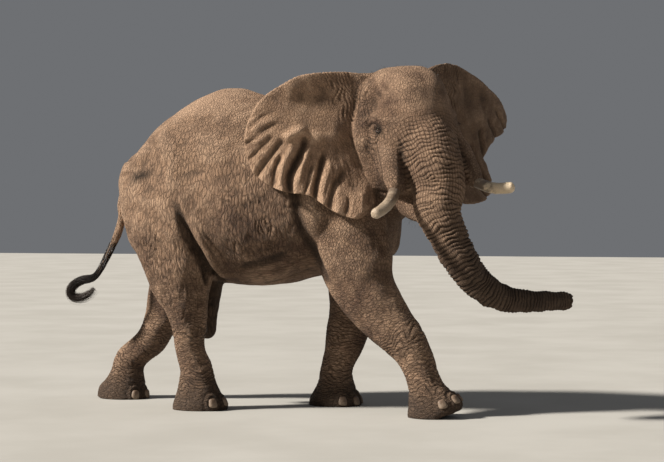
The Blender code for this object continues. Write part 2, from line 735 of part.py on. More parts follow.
def head_cuts():
    """The thin cuts that part the jaw and the lengths of the trunk from the head."""
    frame = head_frame()
    turn = frame.to_3x3()
    left = turn @ Vector((0, 1, 0))
    cuts = []
    front = Vector((MOUTH_FRONT[0], 0.0, MOUTH_FRONT[1]))
    rear = Vector((MOUTH_REAR[0], 0.0, MOUTH_REAR[1]))
    across_mouth = (front - rear).cross(Vector((0, 1, 0)))
    centre = frame @ ((front + rear) / 2)
    cuts.append(slab(centre, turn @ across_mouth, left, MOUTH_WIDTH, (front - rear).length))
    base = frame @ Vector((TRUNK_BASE[0], 0.0, TRUNK_BASE[1]))
    cuts.append(slab(base, turn @ Vector((0.0, 0.0, 1.0)), left, *TRUNK_BASE_SIZE))
    for centre, ahead, width in TRUNK_CUTS:
        cuts.append(slab(Vector(centre), ahead, left, width, width))
    return cuts


def body_cuts():
    """The thin cuts that part the neck, the hindquarters and the lengths of the legs."""
    side = (0.0, 1.0, 0.0)
    cuts = [slab(Vector((LOIN[0], 0.0, LOIN[1])), (1.0, 0.0, 0.0), side, *LOIN_SIZE)]
    high = Vector((NECK_TOP[0], 0.0, NECK_TOP[1]))
    low = Vector((NECK_FOOT[0], 0.0, NECK_FOOT[1]))
    normal = Vector((high.z - low.z, 0.0, low.x - high.x))
    cuts.append(slab((high + low) / 2, normal, side, NECK_WIDTH, (high - low).length))
    for leg, (x, z, fall), levels in zip(LEGS, LEG_TOPS, LEG_CUTS):
        out = math.copysign(1.0, leg.top_y)
        centre = Vector((x, out * LEG_TOP_MIDDLE, z))
        cuts.append(slab(centre, (-fall, -LEG_TOP_LEAN * out, 1.0), side, *LEG_TOP_SIZE))
        for height, ahead in levels:
            cuts.append(slab(Vector(leg_axis(leg, height)), ahead, side, LEG_CUT_WIDTH, LEG_CUT_WIDTH))
    return cuts


def ground():
    """A block that reaches up to the floor, to level what stands on it."""
    form = bmesh.new()
    where = Matrix.Translation((0.0, 0.0, -0.5)) @ Matrix.Diagonal((8.0, 4.0, 1.0, 1.0))
    bmesh.ops.create_cube(form, size=1.0, matrix=where)
    return form


def dress(thing):
    """Gives a piece its own material and smooth shading."""
    _, colour, roughness = next(finish for finish in FINISHES if thing.name.startswith(finish[0]))
    material = bpy.data.materials.new(thing.name)
    material.use_nodes = True
    shader = material.node_tree.nodes["Principled BSDF"]
    shader.inputs["Base Color"].default_value = (*colour, 1.0)
    shader.inputs["Roughness"].default_value = roughness
    shader.inputs["Metallic"].default_value = 0.0
    thing.data.materials.clear()
    thing.data.materials.append(material)
    thing.data.shade_smooth()
    thing.data.set_sharp_from_angle(angle=math.radians(SHARP_ANGLE))


def centre_model(pieces):
    """Moves the pieces together until their box is centred over the origin."""
    points = np.concatenate([[vert.co[:2] for vert in piece.data.vertices] for piece in pieces])
    x, y = (points.min(axis=0) + points.max(axis=0)) / -2
    for piece in pieces:
        piece.location = (x, y, 0.0)


def main():
    """Builds the animal: flesh, then what is set into it, then the finish."""
    clear_scene()
    head = blended("head_flesh", head_forms(), HEAD_TRIANGLES)
    body = blended("body_flesh", body_forms(), BODY_TRIANGLES)
    skull = bmesh.new()
    skull.from_mesh(head.data)
    socket = grown(skull, HEAD_SOCKET_GAP)
    ears = {side: ear_form(side) for side in EAR_OUTLINES}
    slots = [grown(ear, 2 * GAP) for ear in ears.values()]
    tusks = {1.0: tusk_form(1.0), -1.0: tusk_form(-1.0)}
    hollows = [grown(tusk, GAP) for tusk in tusks.values()]
    hollows += [grown(eye_form(mirror), GAP) for mirror in (1.0, -1.0)]
    cut(head, head_cuts())
    cut(head, slots)
    cut(head, hollows)
    cut(body, [socket])
    cut(body, [grown(ear, 2 * GAP) for ear in ears.values()])
    hollows = [grown(form, GAP) for leg in LEGS for form in nail_forms(leg)]
    hollows.append(grown(tail_form(), GAP))
    cut(body, hollows)
    cut(body, [ground()])
    cut(body, body_cuts())
    name_parts(loose_parts(head), PLACES_HEAD)
    name_parts(loose_parts(body), PLACES_BODY)
    for side, ear in ears.items():
        mesh_object("ear_" + side, ear)
    for mirror, side in ((1.0, "left"), (-1.0, "right")):
        mesh_object("tusk_" + side, tusks[mirror])
        mesh_object("eye_" + side, eye_form(mirror))
    for leg in LEGS:
        for count, nail in enumerate(nail_forms(leg), 1):
            mesh_object(f"toenail_{leg.name}_{count}", nail)
    tail = mesh_object("tail", tail_form())
    cut(tail, tail_cuts())
    name_parts(loose_parts(tail), PLACES_TAIL)
    pieces = list(bpy.data.objects)
    for piece in pieces:
        dress(piece)
    centre_model(pieces)


main()
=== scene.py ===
"""An African bush elephant bull in mid stride, as a life-size museum model in a studio.

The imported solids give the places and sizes. One skin stands for all the flesh: its forms are lofts
through the stations of the body, joined on a fine grid and then sculpted with folds, rings and
hollows. Eyes, tusks, toenails and hair are pieces of their own.
Body places are in the body frame: metres, +X forward, +Y to the animal's left, +Z up.
"""

import json
import logging
import math
from collections.abc import Iterator
from contextlib import contextmanager
from dataclasses import dataclass, field
from enum import Enum

import bmesh
import bpy
import numpy as np
from mathutils import Matrix, Vector

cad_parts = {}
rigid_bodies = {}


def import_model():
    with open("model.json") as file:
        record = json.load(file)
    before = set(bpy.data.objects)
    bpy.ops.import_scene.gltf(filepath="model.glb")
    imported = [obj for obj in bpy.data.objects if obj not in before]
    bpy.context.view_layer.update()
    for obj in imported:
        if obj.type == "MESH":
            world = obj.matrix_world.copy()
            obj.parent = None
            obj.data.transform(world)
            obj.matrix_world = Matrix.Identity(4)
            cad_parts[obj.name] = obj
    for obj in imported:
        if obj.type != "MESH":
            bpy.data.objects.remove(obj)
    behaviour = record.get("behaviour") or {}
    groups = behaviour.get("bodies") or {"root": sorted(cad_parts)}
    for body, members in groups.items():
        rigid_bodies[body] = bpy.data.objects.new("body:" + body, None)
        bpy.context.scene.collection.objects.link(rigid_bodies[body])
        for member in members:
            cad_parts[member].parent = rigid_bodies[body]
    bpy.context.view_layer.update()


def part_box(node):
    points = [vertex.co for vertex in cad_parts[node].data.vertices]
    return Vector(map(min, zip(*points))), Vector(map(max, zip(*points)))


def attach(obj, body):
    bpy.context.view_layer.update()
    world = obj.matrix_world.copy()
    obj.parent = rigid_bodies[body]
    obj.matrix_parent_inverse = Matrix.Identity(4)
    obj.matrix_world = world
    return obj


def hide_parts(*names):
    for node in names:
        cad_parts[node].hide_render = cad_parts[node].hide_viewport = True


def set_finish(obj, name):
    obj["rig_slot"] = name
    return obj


log = logging.getLogger("elephant")

Array = np.ndarray
Mesh = bpy.types.Mesh
Thing = bpy.types.Object
Rows = tuple[tuple[float, ...], ...]
Point = tuple[float, float, float]


class Side(Enum):
    """A side of the animal, as the sign of +Y."""

    LEFT = 1.0
    RIGHT = -1.0


# --- The stations that the flesh is lofted through ---

# Trunk of the body: x, widest height, half width, reach up, reach down.
TORSO: Rows = (
    (-2.165, 2.14, 0.01, 0.01, 0.01),
    (-2.150, 2.13, 0.15, 0.16, 0.20),
    (-2.10, 2.10, 0.28, 0.33, 0.42),
    (-1.98, 2.06, 0.43, 0.50, 0.60),
    (-1.80, 2.02, 0.56, 0.70, 0.70),
    (-1.55, 1.98, 0.66, 0.94, 0.72),
    (-1.25, 1.95, 0.72, 1.12, 0.72),
    (-0.95, 1.92, 0.76, 1.19, 0.72),
    (-0.60, 1.90, 0.78, 1.12, 0.71),
    (-0.25, 1.92, 0.74, 1.02, 0.66),
    (0.10, 1.97, 0.66, 0.97, 0.64),
    (0.38, 2.02, 0.54, 0.90, 0.62),
    (0.56, 2.05, 0.40, 0.72, 0.53),
    (0.65, 2.05, 0.22, 0.45, 0.35),
    (0.67, 2.05, 0.01, 0.02, 0.02),
)
# Neck: x, y, z, half width, reach up, reach down.
NECK: Rows = (
    (-0.10, 0.04, 2.20, 0.42, 0.66, 0.60),
    (0.25, 0.00, 2.26, 0.42, 0.68, 0.60),
    (0.52, -0.11, 2.36, 0.40, 0.64, 0.56),
    (0.78, -0.26, 2.46, 0.38, 0.56, 0.50),
)
# A leg: x, height, half width, reach forward, reach back.
FORE_RIGHT: Rows = (
    (0.22, 2.20, 0.16, 0.30, 0.36),
    (0.26, 1.88, 0.215, 0.36, 0.42),
    (0.33, 1.54, 0.25, 0.37, 0.38),
    (0.43, 1.20, 0.22, 0.31, 0.31),
    (0.62, 0.95, 0.20, 0.245, 0.25),
    (0.78, 0.76, 0.185, 0.215, 0.22),
    (0.92, 0.55, 0.16, 0.17, 0.175),
)
FORE_LEFT: Rows = (
    (0.15, 2.20, 0.16, 0.30, 0.36),
    (0.16, 1.85, 0.23, 0.36, 0.38),
    (0.14, 1.50, 0.25, 0.34, 0.34),
    (0.12, 1.15, 0.22, 0.27, 0.27),
    (0.08, 0.85, 0.20, 0.225, 0.225),
    (0.02, 0.60, 0.175, 0.195, 0.195),
)
HIND_RIGHT: Rows = (
    (-1.50, 2.10, 0.20, 0.46, 0.44),
    (-1.47, 1.78, 0.26, 0.45, 0.46),
    (-1.43, 1.48, 0.27, 0.40, 0.40),
    (-1.40, 1.22, 0.24, 0.32, 0.33),
    (-1.36, 0.99, 0.20, 0.215, 0.23),
    (-1.335, 0.80, 0.165, 0.165, 0.175),
    (-1.320, 0.60, 0.155, 0.15, 0.155),
)
HIND_LEFT: Rows = (
    (-1.60, 2.10, 0.20, 0.44, 0.44),
    (-1.64, 1.75, 0.26, 0.42, 0.42),
    (-1.70, 1.42, 0.26, 0.34, 0.34),
    (-1.79, 1.10, 0.23, 0.26, 0.26),
    (-1.90, 0.85, 0.19, 0.20, 0.20),
    (-2.02, 0.62, 0.165, 0.165, 0.17),
)
# A foot above its sole: height, half width, reach forward, reach back.
FORE_FOOT: Rows = (
    (0.34, 0.152, 0.155, 0.160),
    (0.22, 0.172, 0.180, 0.180),
    (0.12, 0.208, 0.230, 0.215),
    (0.04, 0.225, 0.262, 0.240),
    (-0.05, 0.222, 0.262, 0.240),
)
HIND_FOOT: Rows = (
    (0.36, 0.150, 0.160, 0.165),
    (0.24, 0.162, 0.185, 0.190),
    (0.13, 0.188, 0.235, 0.225),
    (0.04, 0.208, 0.275, 0.255),
    (-0.05, 0.206, 0.278, 0.258),
)
# Upper head, crown to palate, in the head's axes: forward, up, half width, reach forward, back.
CRANIUM: Rows = (
    (0.06, 0.625, 0.01, 0.01, 0.01),
    (0.06, 0.61, 0.12, 0.14, 0.14),
    (0.06, 0.56, 0.24, 0.27, 0.27),
    (0.07, 0.46, 0.33, 0.38, 0.38),
    (0.09, 0.32, 0.38, 0.44, 0.44),
    (0.11, 0.15, 0.40, 0.48, 0.48),
    (0.13, -0.02, 0.43, 0.49, 0.50),
    (0.16, -0.20, 0.43, 0.48, 0.50),
    (0.20, -0.38, 0.39, 0.44, 0.45),
    (0.18, -0.50, 0.30, 0.32, 0.36),
    (0.13, -0.585, 0.18, 0.19, 0.24),
    (0.13, -0.615, 0.01, 0.01, 0.01),
)
# Lower jaw: forward, up, half width, half depth.
JAW: Rows = (
    (-0.25, -0.22, 0.30, 0.20),
    (-0.12, -0.42, 0.27, 0.22),
    (0.03, -0.58, 0.235, 0.185),
    (0.16, -0.70, 0.19, 0.14),
    (0.28, -0.775, 0.13, 0.095),
    (0.355, -0.80, 0.07, 0.055),
    (0.385, -0.805, 0.01, 0.01),
)
# Temple and cheekbone, left side: forward, left, up, radius.
CHEEK: Rows = (
    (0.02, 0.24, 0.50, 0.05),
    (0.01, 0.28, 0.42, 0.12),
    (0.00, 0.34, 0.25, 0.135),
    (0.00, 0.39, 0.05, 0.14),
    (0.02, 0.37, -0.14, 0.135),
    (0.06, 0.33, -0.30, 0.10),
    (0.08, 0.30, -0.38, 0.04),
)
# Sheath of a tusk: forward, left, up, radius.
TUSK_SHEATH: Rows = (
    (0.16, 0.28, 0.02, 0.10),
    (0.32, 0.32, -0.18, 0.125),
    (0.46, 0.36, -0.36, 0.115),
    (0.56, 0.403, -0.50, 0.088),
    (0.585, 0.418, -0.54, 0.07),
)
# Root of the trunk, in the head's axes: forward, up, half width, half depth.
TRUNK_ROOT: Rows = (
    (0.24, 0.24, 0.20, 0.16),
    (0.36, 0.06, 0.24, 0.22),
    (0.48, -0.15, 0.262, 0.26),
    (0.56, -0.35, 0.262, 0.27),
    (0.61, -0.53, 0.245, 0.25),
)
# The free trunk: x, y, z, half width, half depth.
TRUNK: Rows = (
    (1.215, -0.754, 1.925, 0.215, 0.22),
    (1.305, -0.769, 1.726, 0.182, 0.185),
    (1.414, -0.759, 1.490, 0.168, 0.165),
    (1.566, -0.695, 1.273, 0.148, 0.143),
    (1.753, -0.589, 1.137, 0.128, 0.122),
    (1.993, -0.447, 1.092, 0.106, 0.102),
    (2.232, -0.295, 1.092, 0.088, 0.086),
    (2.315, -0.242, 1.088, 0.076, 0.074),
    (2.343, -0.221, 1.085, 0.055, 0.055),
    (2.352, -0.215, 1.085, 0.01, 0.01),
)
# Outline of an ear from the top of its root: distance out from the root, height.
EAR_RIGHT: Rows = (
    (-0.13, 0.555),
    (0.10, 0.605),
    (0.40, 0.62),
    (0.60, 0.60),
    (0.76, 0.53),
    (0.93, 0.435),
    (1.06, 0.29),
    (1.14, 0.10),
    (1.15, -0.08),
    (1.10, -0.24),
    (0.93, -0.385),
    (0.70, -0.48),
    (0.50, -0.52),
    (0.30, -0.63),
    (0.06, -0.735),
    (-0.12, -0.76),
    (-0.17, -0.68),
    (-0.10, -0.48),
    (-0.07, -0.15),
    (-0.08, 0.25),
)
# The other ear, whose upper corner is folded away and whose hem is drawn in.
EAR_LEFT: Rows = (
    (-0.13, 0.555),
    (0.02, 0.625),
    (0.24, 0.625),
    (0.50, 0.525),
    (0.78, 0.39),
    (1.02, 0.26),
    (1.17, 0.08),
    (1.12, -0.03),
    (0.86, -0.13),
    (0.65, -0.25),
    (0.57, -0.38),
    (0.51, -0.52),
    (0.34, -0.64),
    (0.06, -0.73),
    (-0.16, -0.71),
    (-0.16, -0.50),
    (-0.07, -0.15),
    (-0.08, 0.25),
)
# The tail down to the end of its tuft: x, height, radius.
TAIL: Rows = (
    (-2.02, 2.22, 0.075),
    (-2.14, 2.12, 0.068),
    (-2.20, 1.98, 0.052),
    (-2.205, 1.84, 0.044),
    (-2.255, 1.668, 0.038),
    (-2.363, 1.466, 0.032),
    (-2.475, 1.275, 0.027),
    (-2.53, 1.240, 0.034),
    (-2.62, 1.225, 0.036),
    (-2.715, 1.180, 0.036),
    (-2.765, 1.115, 0.034),
    (-2.74, 1.055, 0.032),
    (-2.65, 1.045, 0.028),
    (-2.56, 1.085, 0.020),
    (-2.50, 1.14, 0.008),
)
TAIL_FLESH = 7  # stations of flesh, the rest is hair
# The sheath between the hind legs: x, height, radius.
SHEATH: Rows = (
    (-1.24, 1.32, 0.13),
    (-1.26, 1.12, 0.115),
    (-1.275, 0.92, 0.105),
    (-1.285, 0.78, 0.10),
    (-1.29, 0.70, 0.08),
    (-1.292, 0.655, 0.03),
)


# --- Geometry helpers, all on whole arrays ---


def unit(vectors: Array) -> Array:
    """Vectors brought to length one, along the last axis."""
    return vectors / np.maximum(np.linalg.norm(vectors, axis=-1, keepdims=True), 1e-12)


def ramp(values: Array, low: float, high: float) -> Array:
    """0 below low, 1 above high, and 3t^2 - 2t^3 between them. low may be above high."""
    share = np.clip((values - low) / (high - low), 0.0, 1.0)
    return share * share * (3 - 2 * share)


def carried(stations: Array, per: int, measure: int = 3) -> Array:
    """Stations smoothed by a cubic that passes through each.

    Each stretch is Hermite's cubic, whose slopes are the differences over the path's length.

    Args:
        stations: one row for each station.
        per: rows to a stretch.
        measure: how many leading columns are the place that the length is measured on.

    Returns:
        The rows, with per to a stretch and one at the end.
    """
    rows = np.asarray(stations, float)
    steps = np.linalg.norm(np.diff(rows[:, :measure], axis=0), axis=1)
    along = np.concatenate([[0.0], np.cumsum(steps)])
    slope = np.gradient(rows, along, axis=0)
    shares = np.arange(per) / per
    t = (along[:-1, None] + steps[:, None] * shares[None, :]).ravel()
    t = np.append(t, along[-1])
    i = np.clip(np.searchsorted(along, t, side="right") - 1, 0, len(along) - 2)
    span = (along[i + 1] - along[i])[:, None]
    s = (t - along[i])[:, None] / span
    start = rows[i] * (2 * s**3 - 3 * s**2 + 1) + slope[i] * span * (s**3 - 2 * s**2 + s)
    return start + rows[i + 1] * (3 * s**2 - 2 * s**3) + slope[i + 1] * span * (s**3 - s**2)


def grid_faces(rows: int, columns: int, closed: bool = True) -> Array:
    """Quads of a grid whose columns run on round it when closed.

    Args:
        rows: rows of points.
        columns: points in a row.
        closed: whether the last column joins the first.

    Returns:
        Indices, four to a quad.
    """
    last = columns if closed else columns - 1
    i, j = np.meshgrid(np.arange(rows - 1), np.arange(last), indexing="ij")
    k = (j + 1) % columns
    quads = np.stack([i * columns + j, i * columns + k, (i + 1) * columns + k, (i + 1) * columns + j], -1)
    return quads.reshape(-1, 4)


@dataclass
class Surface:
    """Points and quads on their way to a mesh. A quad whose last two corners agree is a triangle."""

    points: Array
    quads: Array

    def joined(self, other: "Surface") -> "Surface":
        """Both surfaces as one."""
        quads = np.vstack([self.quads, other.quads + len(self.points)])
        return Surface(np.vstack([self.points, other.points]), quads)

    def mesh(self, name: str) -> Mesh:
        """A mesh of the points and faces.

        Args:
            name: of the mesh.

        Returns:
            The mesh, with its edges worked out.
        """
        mesh = bpy.data.meshes.new(name)
        three = self.quads[:, 2] == self.quads[:, 3]
        loops = np.concatenate([self.quads[~three].ravel(), self.quads[three][:, :3].ravel()])
        sizes = np.concatenate([np.full((~three).sum(), 4), np.full(three.sum(), 3)])
        starts = np.concatenate([[0], np.cumsum(sizes)[:-1]])
        mesh.vertices.add(len(self.points))
        mesh.vertices.foreach_set("co", self.points.astype(np.float32).ravel())
        mesh.loops.add(len(loops))
        mesh.loops.foreach_set("vertex_index", loops.astype(np.int32))
        mesh.polygons.add(len(sizes))
        mesh.polygons.foreach_set("loop_start", starts.astype(np.int32))
        mesh.update(calc_edges=True)
        mesh.validate()
        return mesh


def capped(points: Array, columns: int) -> Surface:
    """A closed tube: rings of points with a fan of triangles over each end.

    Args:
        points: the rings' points, ring after ring.
        columns: points to a ring.

    Returns:
        The closed form.
    """
    rows = len(points) // columns
    ends = np.array([points[:columns].mean(axis=0), points[-columns:].mean(axis=0)])
    first, last = len(points), len(points) + 1
    j = np.arange(columns)
    k = (j + 1) % columns
    top = np.stack([np.full(columns, first), k, j, j], -1)
    base = (rows - 1) * columns
    low = np.stack([np.full(columns, last), base + j, base + k, base + k], -1)
    quads = np.vstack([grid_faces(rows, columns), top, low])
    return Surface(np.vstack([points, ends]), quads)


def nearest_row(points: Array, centres: Array) -> Array:
    """The index of the centre nearest to each point, by |c|^2 - 2 p.c."""
    worth = (centres**2).sum(axis=1)[None, :] - 2 * points @ centres.T
    return worth.argmin(axis=1)


@dataclass
class Place:
    """Where points lie on a tube: length along it, angle round it and share of its radius."""

    along: Array
    angle: Array
    share: Array


@dataclass
class Tube:
    """A closed form through elliptical sections along a path.

    Each station holds x, y, z, half width, reach to the front and reach to the back.
    """

    stations: Array
    side: Point = (0.0, 1.0, 0.0)
    upright: Point | None = None

    def frames(self, per: int) -> tuple[Array, Array, Array]:
        """Rows through the stations, with the side and front directions of each ring.

        The side direction is carried along the path, square to it. With upright given, every ring
        keeps the same two directions instead.

        Args:
            per: rows to a stretch between stations.

        Returns:
            The rows, the side direction and the front direction of each.
        """
        rows = carried(self.stations, per)
        if self.upright is not None:
            count = len(rows)
            return rows, np.tile(self.side, (count, 1)), np.tile(self.upright, (count, 1))
        ahead = unit(np.gradient(rows[:, :3], axis=0))
        side = np.asarray(self.side, float)
        sides = []
        for direction in ahead:
            side = unit(side - direction * (side @ direction))
            sides.append(side)
        sides = np.array(sides)
        return rows, sides, np.cross(ahead, sides)

    def surface(self, per: int, columns: int) -> Surface:
        """The tube's skin: an ellipse whose front and back halves have their own reach.

        Args:
            per: rings to a stretch between stations.
            columns: points to a ring.

        Returns:
            The closed form.
        """
        rows, sides, fronts = self.frames(per)
        angle = np.linspace(0, 2 * math.pi, columns, endpoint=False)
        across, along = np.cos(angle), np.sin(angle)
        reach = np.where(along[None, :] >= 0, rows[:, 4:5], rows[:, 5:6]) * along[None, :]
        rings = (
            rows[:, None, :3]
            + sides[:, None, :] * (rows[:, 3:4] * across[None, :])[..., None]
            + fronts[:, None, :] * reach[..., None]
        )
        return capped(rings.reshape(-1, 3), columns)

    def locate(self, points: Array, per: int = 8) -> Place:
        """Where each point lies on the tube, from its nearest ring.

        Args:
            points: places in the body frame.
            per: rows to a stretch between stations.

        Returns:
            The place of each on the tube.
        """
        rows, sides, fronts = self.frames(per)
        near = nearest_row(points, rows[:, :3])
        ahead = unit(np.gradient(rows[:, :3], axis=0))
        lengths = np.linalg.norm(np.diff(rows[:, :3], axis=0), axis=1)
        along = np.concatenate([[0.0], np.cumsum(lengths)])
        offset = points - rows[near, :3]
        across = (offset * sides[near]).sum(axis=1)
        front = (offset * fronts[near]).sum(axis=1)
        reach = np.where(front >= 0, rows[near, 4], rows[near, 5])
        share = np.hypot(across / rows[near, 3], front / reach)
        length = along[near] + (offset * ahead[near]).sum(axis=1)
        return Place(length, np.arctan2(front, across), share)


def waves(points: Array, size: float, seed: int, count: int = 9) -> Array:
    """Smooth noise: the mean of sine waves of about the given length in seeded directions.

    Args:
        points: where to read it.
        size: wavelength in metres.
        seed: which waves.
        count: how many waves.

    Returns:
        Values of about -1 to 1.
    """
    chance = np.random.default_rng(seed)
    directions = unit(chance.normal(size=(count, points.shape[1])))
    lengths = size * chance.uniform(0.7, 1.6, count)
    phase = chance.uniform(0, 2 * math.pi, count)
    total = np.zeros(len(points))
    for direction, length, start in zip(directions, lengths, phase):
        total += np.sin(points @ direction * (2 * math.pi / length) + start)
    return total / math.sqrt(count / 2)


def bell(gap: Array, width: float) -> Array:
    """1 where gap is 0, e^-1 where it is width, and 0 far off: exp(-(gap/width)^2)."""
    return np.exp(-((gap / width) ** 2))


def groove(phase: Array, width: float) -> Array:
    """A bell of the given width at each whole number of phase."""
    return bell(phase - np.round(phase), width)


def bump(points: Array, centre: tuple[float, ...], reach: tuple[float, ...]) -> Array:
    """A soft bump, exp(-r^2), where r is the distance from centre with each axis in units of reach."""
    away = (points - np.array(centre)) / np.array(reach)
    return np.exp(-(away**2).sum(axis=1))


def distance_to_path(points: Array, path: Array) -> tuple[Array, Array]:
    """Distance from points to a path of straight stretches, with how far along it that is.

    Args:
        points: n points of two or three coordinates.
        path: the path's corners.

    Returns:
        The distance, and the share of the path's length at the nearest place.
    """
    best = np.full(len(points), np.inf)
    share = np.zeros(len(points))
    lengths = np.linalg.norm(np.diff(path, axis=0), axis=1)
    total = lengths.sum()
    walked = 0.0
    for start, end, length in zip(path, path[1:], lengths):
        way = (end - start) / length
        t = np.clip((points - start) @ way, 0, length)
        gap = np.linalg.norm(points - (start + t[:, None] * way), axis=1)
        nearer = gap < best
        best = np.where(nearer, gap, best)
        share = np.where(nearer, (walked + t) / total, share)
        walked += length
    return best, share


def relaxed(points: Array, edges: Array, pull: Array, passes: int) -> Array:
    """Points drawn towards the mean of their neighbours, pass after pass.

    Args:
        points: the mesh's points.
        edges: pairs of point indices.
        pull: share of the way for each point.
        passes: how many rounds.

    Returns:
        The moved points.
    """
    count = len(points)
    ends = np.concatenate([edges[:, 0], edges[:, 1]])
    others = np.concatenate([edges[:, 1], edges[:, 0]])
    degree = np.maximum(np.bincount(ends, minlength=count), 1)
    moved = points.copy()
    for _ in range(passes):
        mean = np.stack([np.bincount(ends, moved[others, axis], count) / degree for axis in range(3)], -1)
        moved += pull[:, None] * (mean - moved)
    return moved


def held(items: bpy.types.bpy_prop_collection, key: str, width: int, kind: type = np.float32) -> Array:
    """The numbers that each item of a mesh holds under a key, as a row of the given width.

    Args:
        items: the mesh's points, normals, edges or the like.
        key: what to read of each.
        width: numbers to an item.
        kind: the numbers' type.

    Returns:
        One row for each item.
    """
    flat = np.empty(len(items) * width, kind)
    items.foreach_get(key, flat)
    return flat.reshape(-1, width)


def mesh_points(mesh: Mesh) -> Array:
    """The places of a mesh's points."""
    return held(mesh.vertices, "co", 3).astype(float)


def mesh_normals(mesh: Mesh) -> Array:
    """The normal at each point of a mesh."""
    return held(mesh.vertex_normals, "vector", 3).astype(float)


def mesh_edges(mesh: Mesh) -> Array:
    """The pairs of points that edges join."""
    return held(mesh.edges, "vertices", 2, np.int32)


@contextmanager
def edited(mesh: Mesh) -> Iterator[bmesh.types.BMesh]:
    """A mesh opened for editing, and written back at the end.

    Args:
        mesh: the mesh to edit.

    Returns:
        The open form, for the length of a with block.
    """
    form = bmesh.new()
    form.from_mesh(mesh)
    yield form
    form.to_mesh(mesh)
    form.free()


def face_out(mesh: Mesh) -> None:
    """Turns the faces of a closed mesh outwards."""
    with edited(mesh) as form:
        bmesh.ops.recalc_face_normals(form, faces=form.faces)


def set_points(mesh: Mesh, points: Array) -> None:
    """Moves the points of a mesh."""
    mesh.vertices.foreach_set("co", points.astype(np.float32).ravel())
    mesh.update()


def set_attribute(mesh: Mesh, name: str, values: Array) -> None:
    """Writes one number for each point, under a name that materials read."""
    attribute = mesh.attributes.get(name) or mesh.attributes.new(name, "FLOAT", "POINT")
    attribute.data.foreach_set("value", values.astype(np.float32))


def placed(name: str, mesh: Mesh) -> Thing:
    """An object at the origin that holds the mesh.

    Args:
        name: of the object.
        mesh: what it holds.

    Returns:
        The object, linked to the scene.
    """
    thing = bpy.data.objects.new(name, mesh)
    bpy.context.scene.collection.objects.link(thing)
    return thing


def settled(thing: Thing) -> None:
    """Replaces an object's mesh by what its modifiers make of it.

    Args:
        thing: the object, whose modifiers are cleared.
    """
    graph = bpy.context.evaluated_depsgraph_get()
    mesh = bpy.data.meshes.new_from_object(thing.evaluated_get(graph))
    old = thing.data
    thing.modifiers.clear()
    thing.data = mesh
    bpy.data.meshes.remove(old)


# --- The head's axes, the ears and the legs ---

HEAD_CENTRE = np.array((0.78, -0.24, 2.66))  # midway between the ears
HEAD_TURN = math.radians(-50.0)  # to the animal's right
HEAD_ROLL = math.radians(5.0)  # right ear lower
FULL_GRID = 0.0105  # spacing of the grid that the forms are joined on
EYE_RADIUS = 0.029
EYE_PLACE = (0.275, 0.393, 0.03)  # forward, left, up in the head's axes
TUSK_ROOT = (0.40, 0.33, -0.32)
TUSK_CORNER = (0.62, 0.40, -0.62)  # where the directions of its two ends meet
TUSK_TIP = {Side.RIGHT: (0.80, 0.742, -0.705), Side.LEFT: (0.84, 0.620, -0.585)}
TUSK_RADIUS = 0.056
# The trunk's tip: push, place aside, half width, height above the middle and half height, for the
# upper finger, the lower one, the cup between them and the nostrils.
TIP_FORMS = (
    (0.028, 0.0, 0.026, 0.050, 0.022),
    (0.018, 0.0, 0.034, -0.046, 0.022),
    (-0.018, 0.0, 0.040, 0.0, 0.030),
    (-0.034, -0.021, 0.012, 0.0, 0.014),
    (-0.034, 0.021, 0.012, 0.0, 0.014),
)
TUSK_TAPER = 0.12
EYE_SPLITS = (0.17, 0.075, 0.046)  # the skin's edges are halved within each of these of an eye
TIP_FINE_REACH = 0.16  # and once within this of the trunk's tip
EYE_FINE_REACH = 0.07  # the skin stays at its finest this near an eye
EAR_ROOT = (-0.03, 0.395)  # forward and left of the head's centre
EAR_MIDDLE = np.array((0.32, 0.0))
EAR_SWEEP = {Side.RIGHT: (6.0, 34.0), Side.LEFT: (12.0, 38.0)}  # degrees back, at root and edge
EAR_SPAN = 1.05
EAR_FLARE = 0.28
EAR_ADVANCE = 0.12
EAR_FLARE_START = -0.15
EAR_FLARE_REACH = 0.60
EAR_THICKNESS = 0.018
EAR_CREST = (0.62, 0.06)  # out and height of the crest above the fan of folds
# Where the head's side meets an ear: heights, and distances out from the root there.
EAR_BORDER = ((-0.5, -0.2, 0.0, 0.3, 0.46, 0.6), (0.06, 0.07, 0.10, 0.17, 0.29, 0.36))
EAR_OUTLINE = {Side.RIGHT: EAR_RIGHT, Side.LEFT: EAR_LEFT}


def head_turn() -> Array:
    """The head's axes (forward, left, up) in the body frame, as the columns of a matrix."""
    turn = Matrix.Rotation(HEAD_TURN, 3, "Z") @ Matrix.Rotation(HEAD_ROLL, 3, "X")
    return np.array(turn)


def from_head(points: Array, side: Side = Side.LEFT) -> Array:
    """Places in the head's axes (forward, left, up), mirrored for the right side, in the body frame."""
    mirrored = np.atleast_2d(points) * np.array((1.0, side.value, 1.0))
    return mirrored @ head_turn().T + HEAD_CENTRE


def to_head(points: Array) -> Array:
    """Places in the body frame, in the head's axes."""
    return (points - HEAD_CENTRE) @ head_turn()


def head_share(head: Array) -> Array:
    """1 on the head and 0 away from it, for places in the head's axes."""
    reach = np.hypot(head[:, 0] - 0.1, head[:, 1])
    return ramp(reach, 0.78, 0.62) * ramp(head[:, 2], -0.9, -0.7)


@dataclass
class EarPlace:
    """Where points lie on an ear's sheet: out from its root, height, lift off it and its share there."""

    out: Array
    height: Array
    lift: Array
    weight: Array


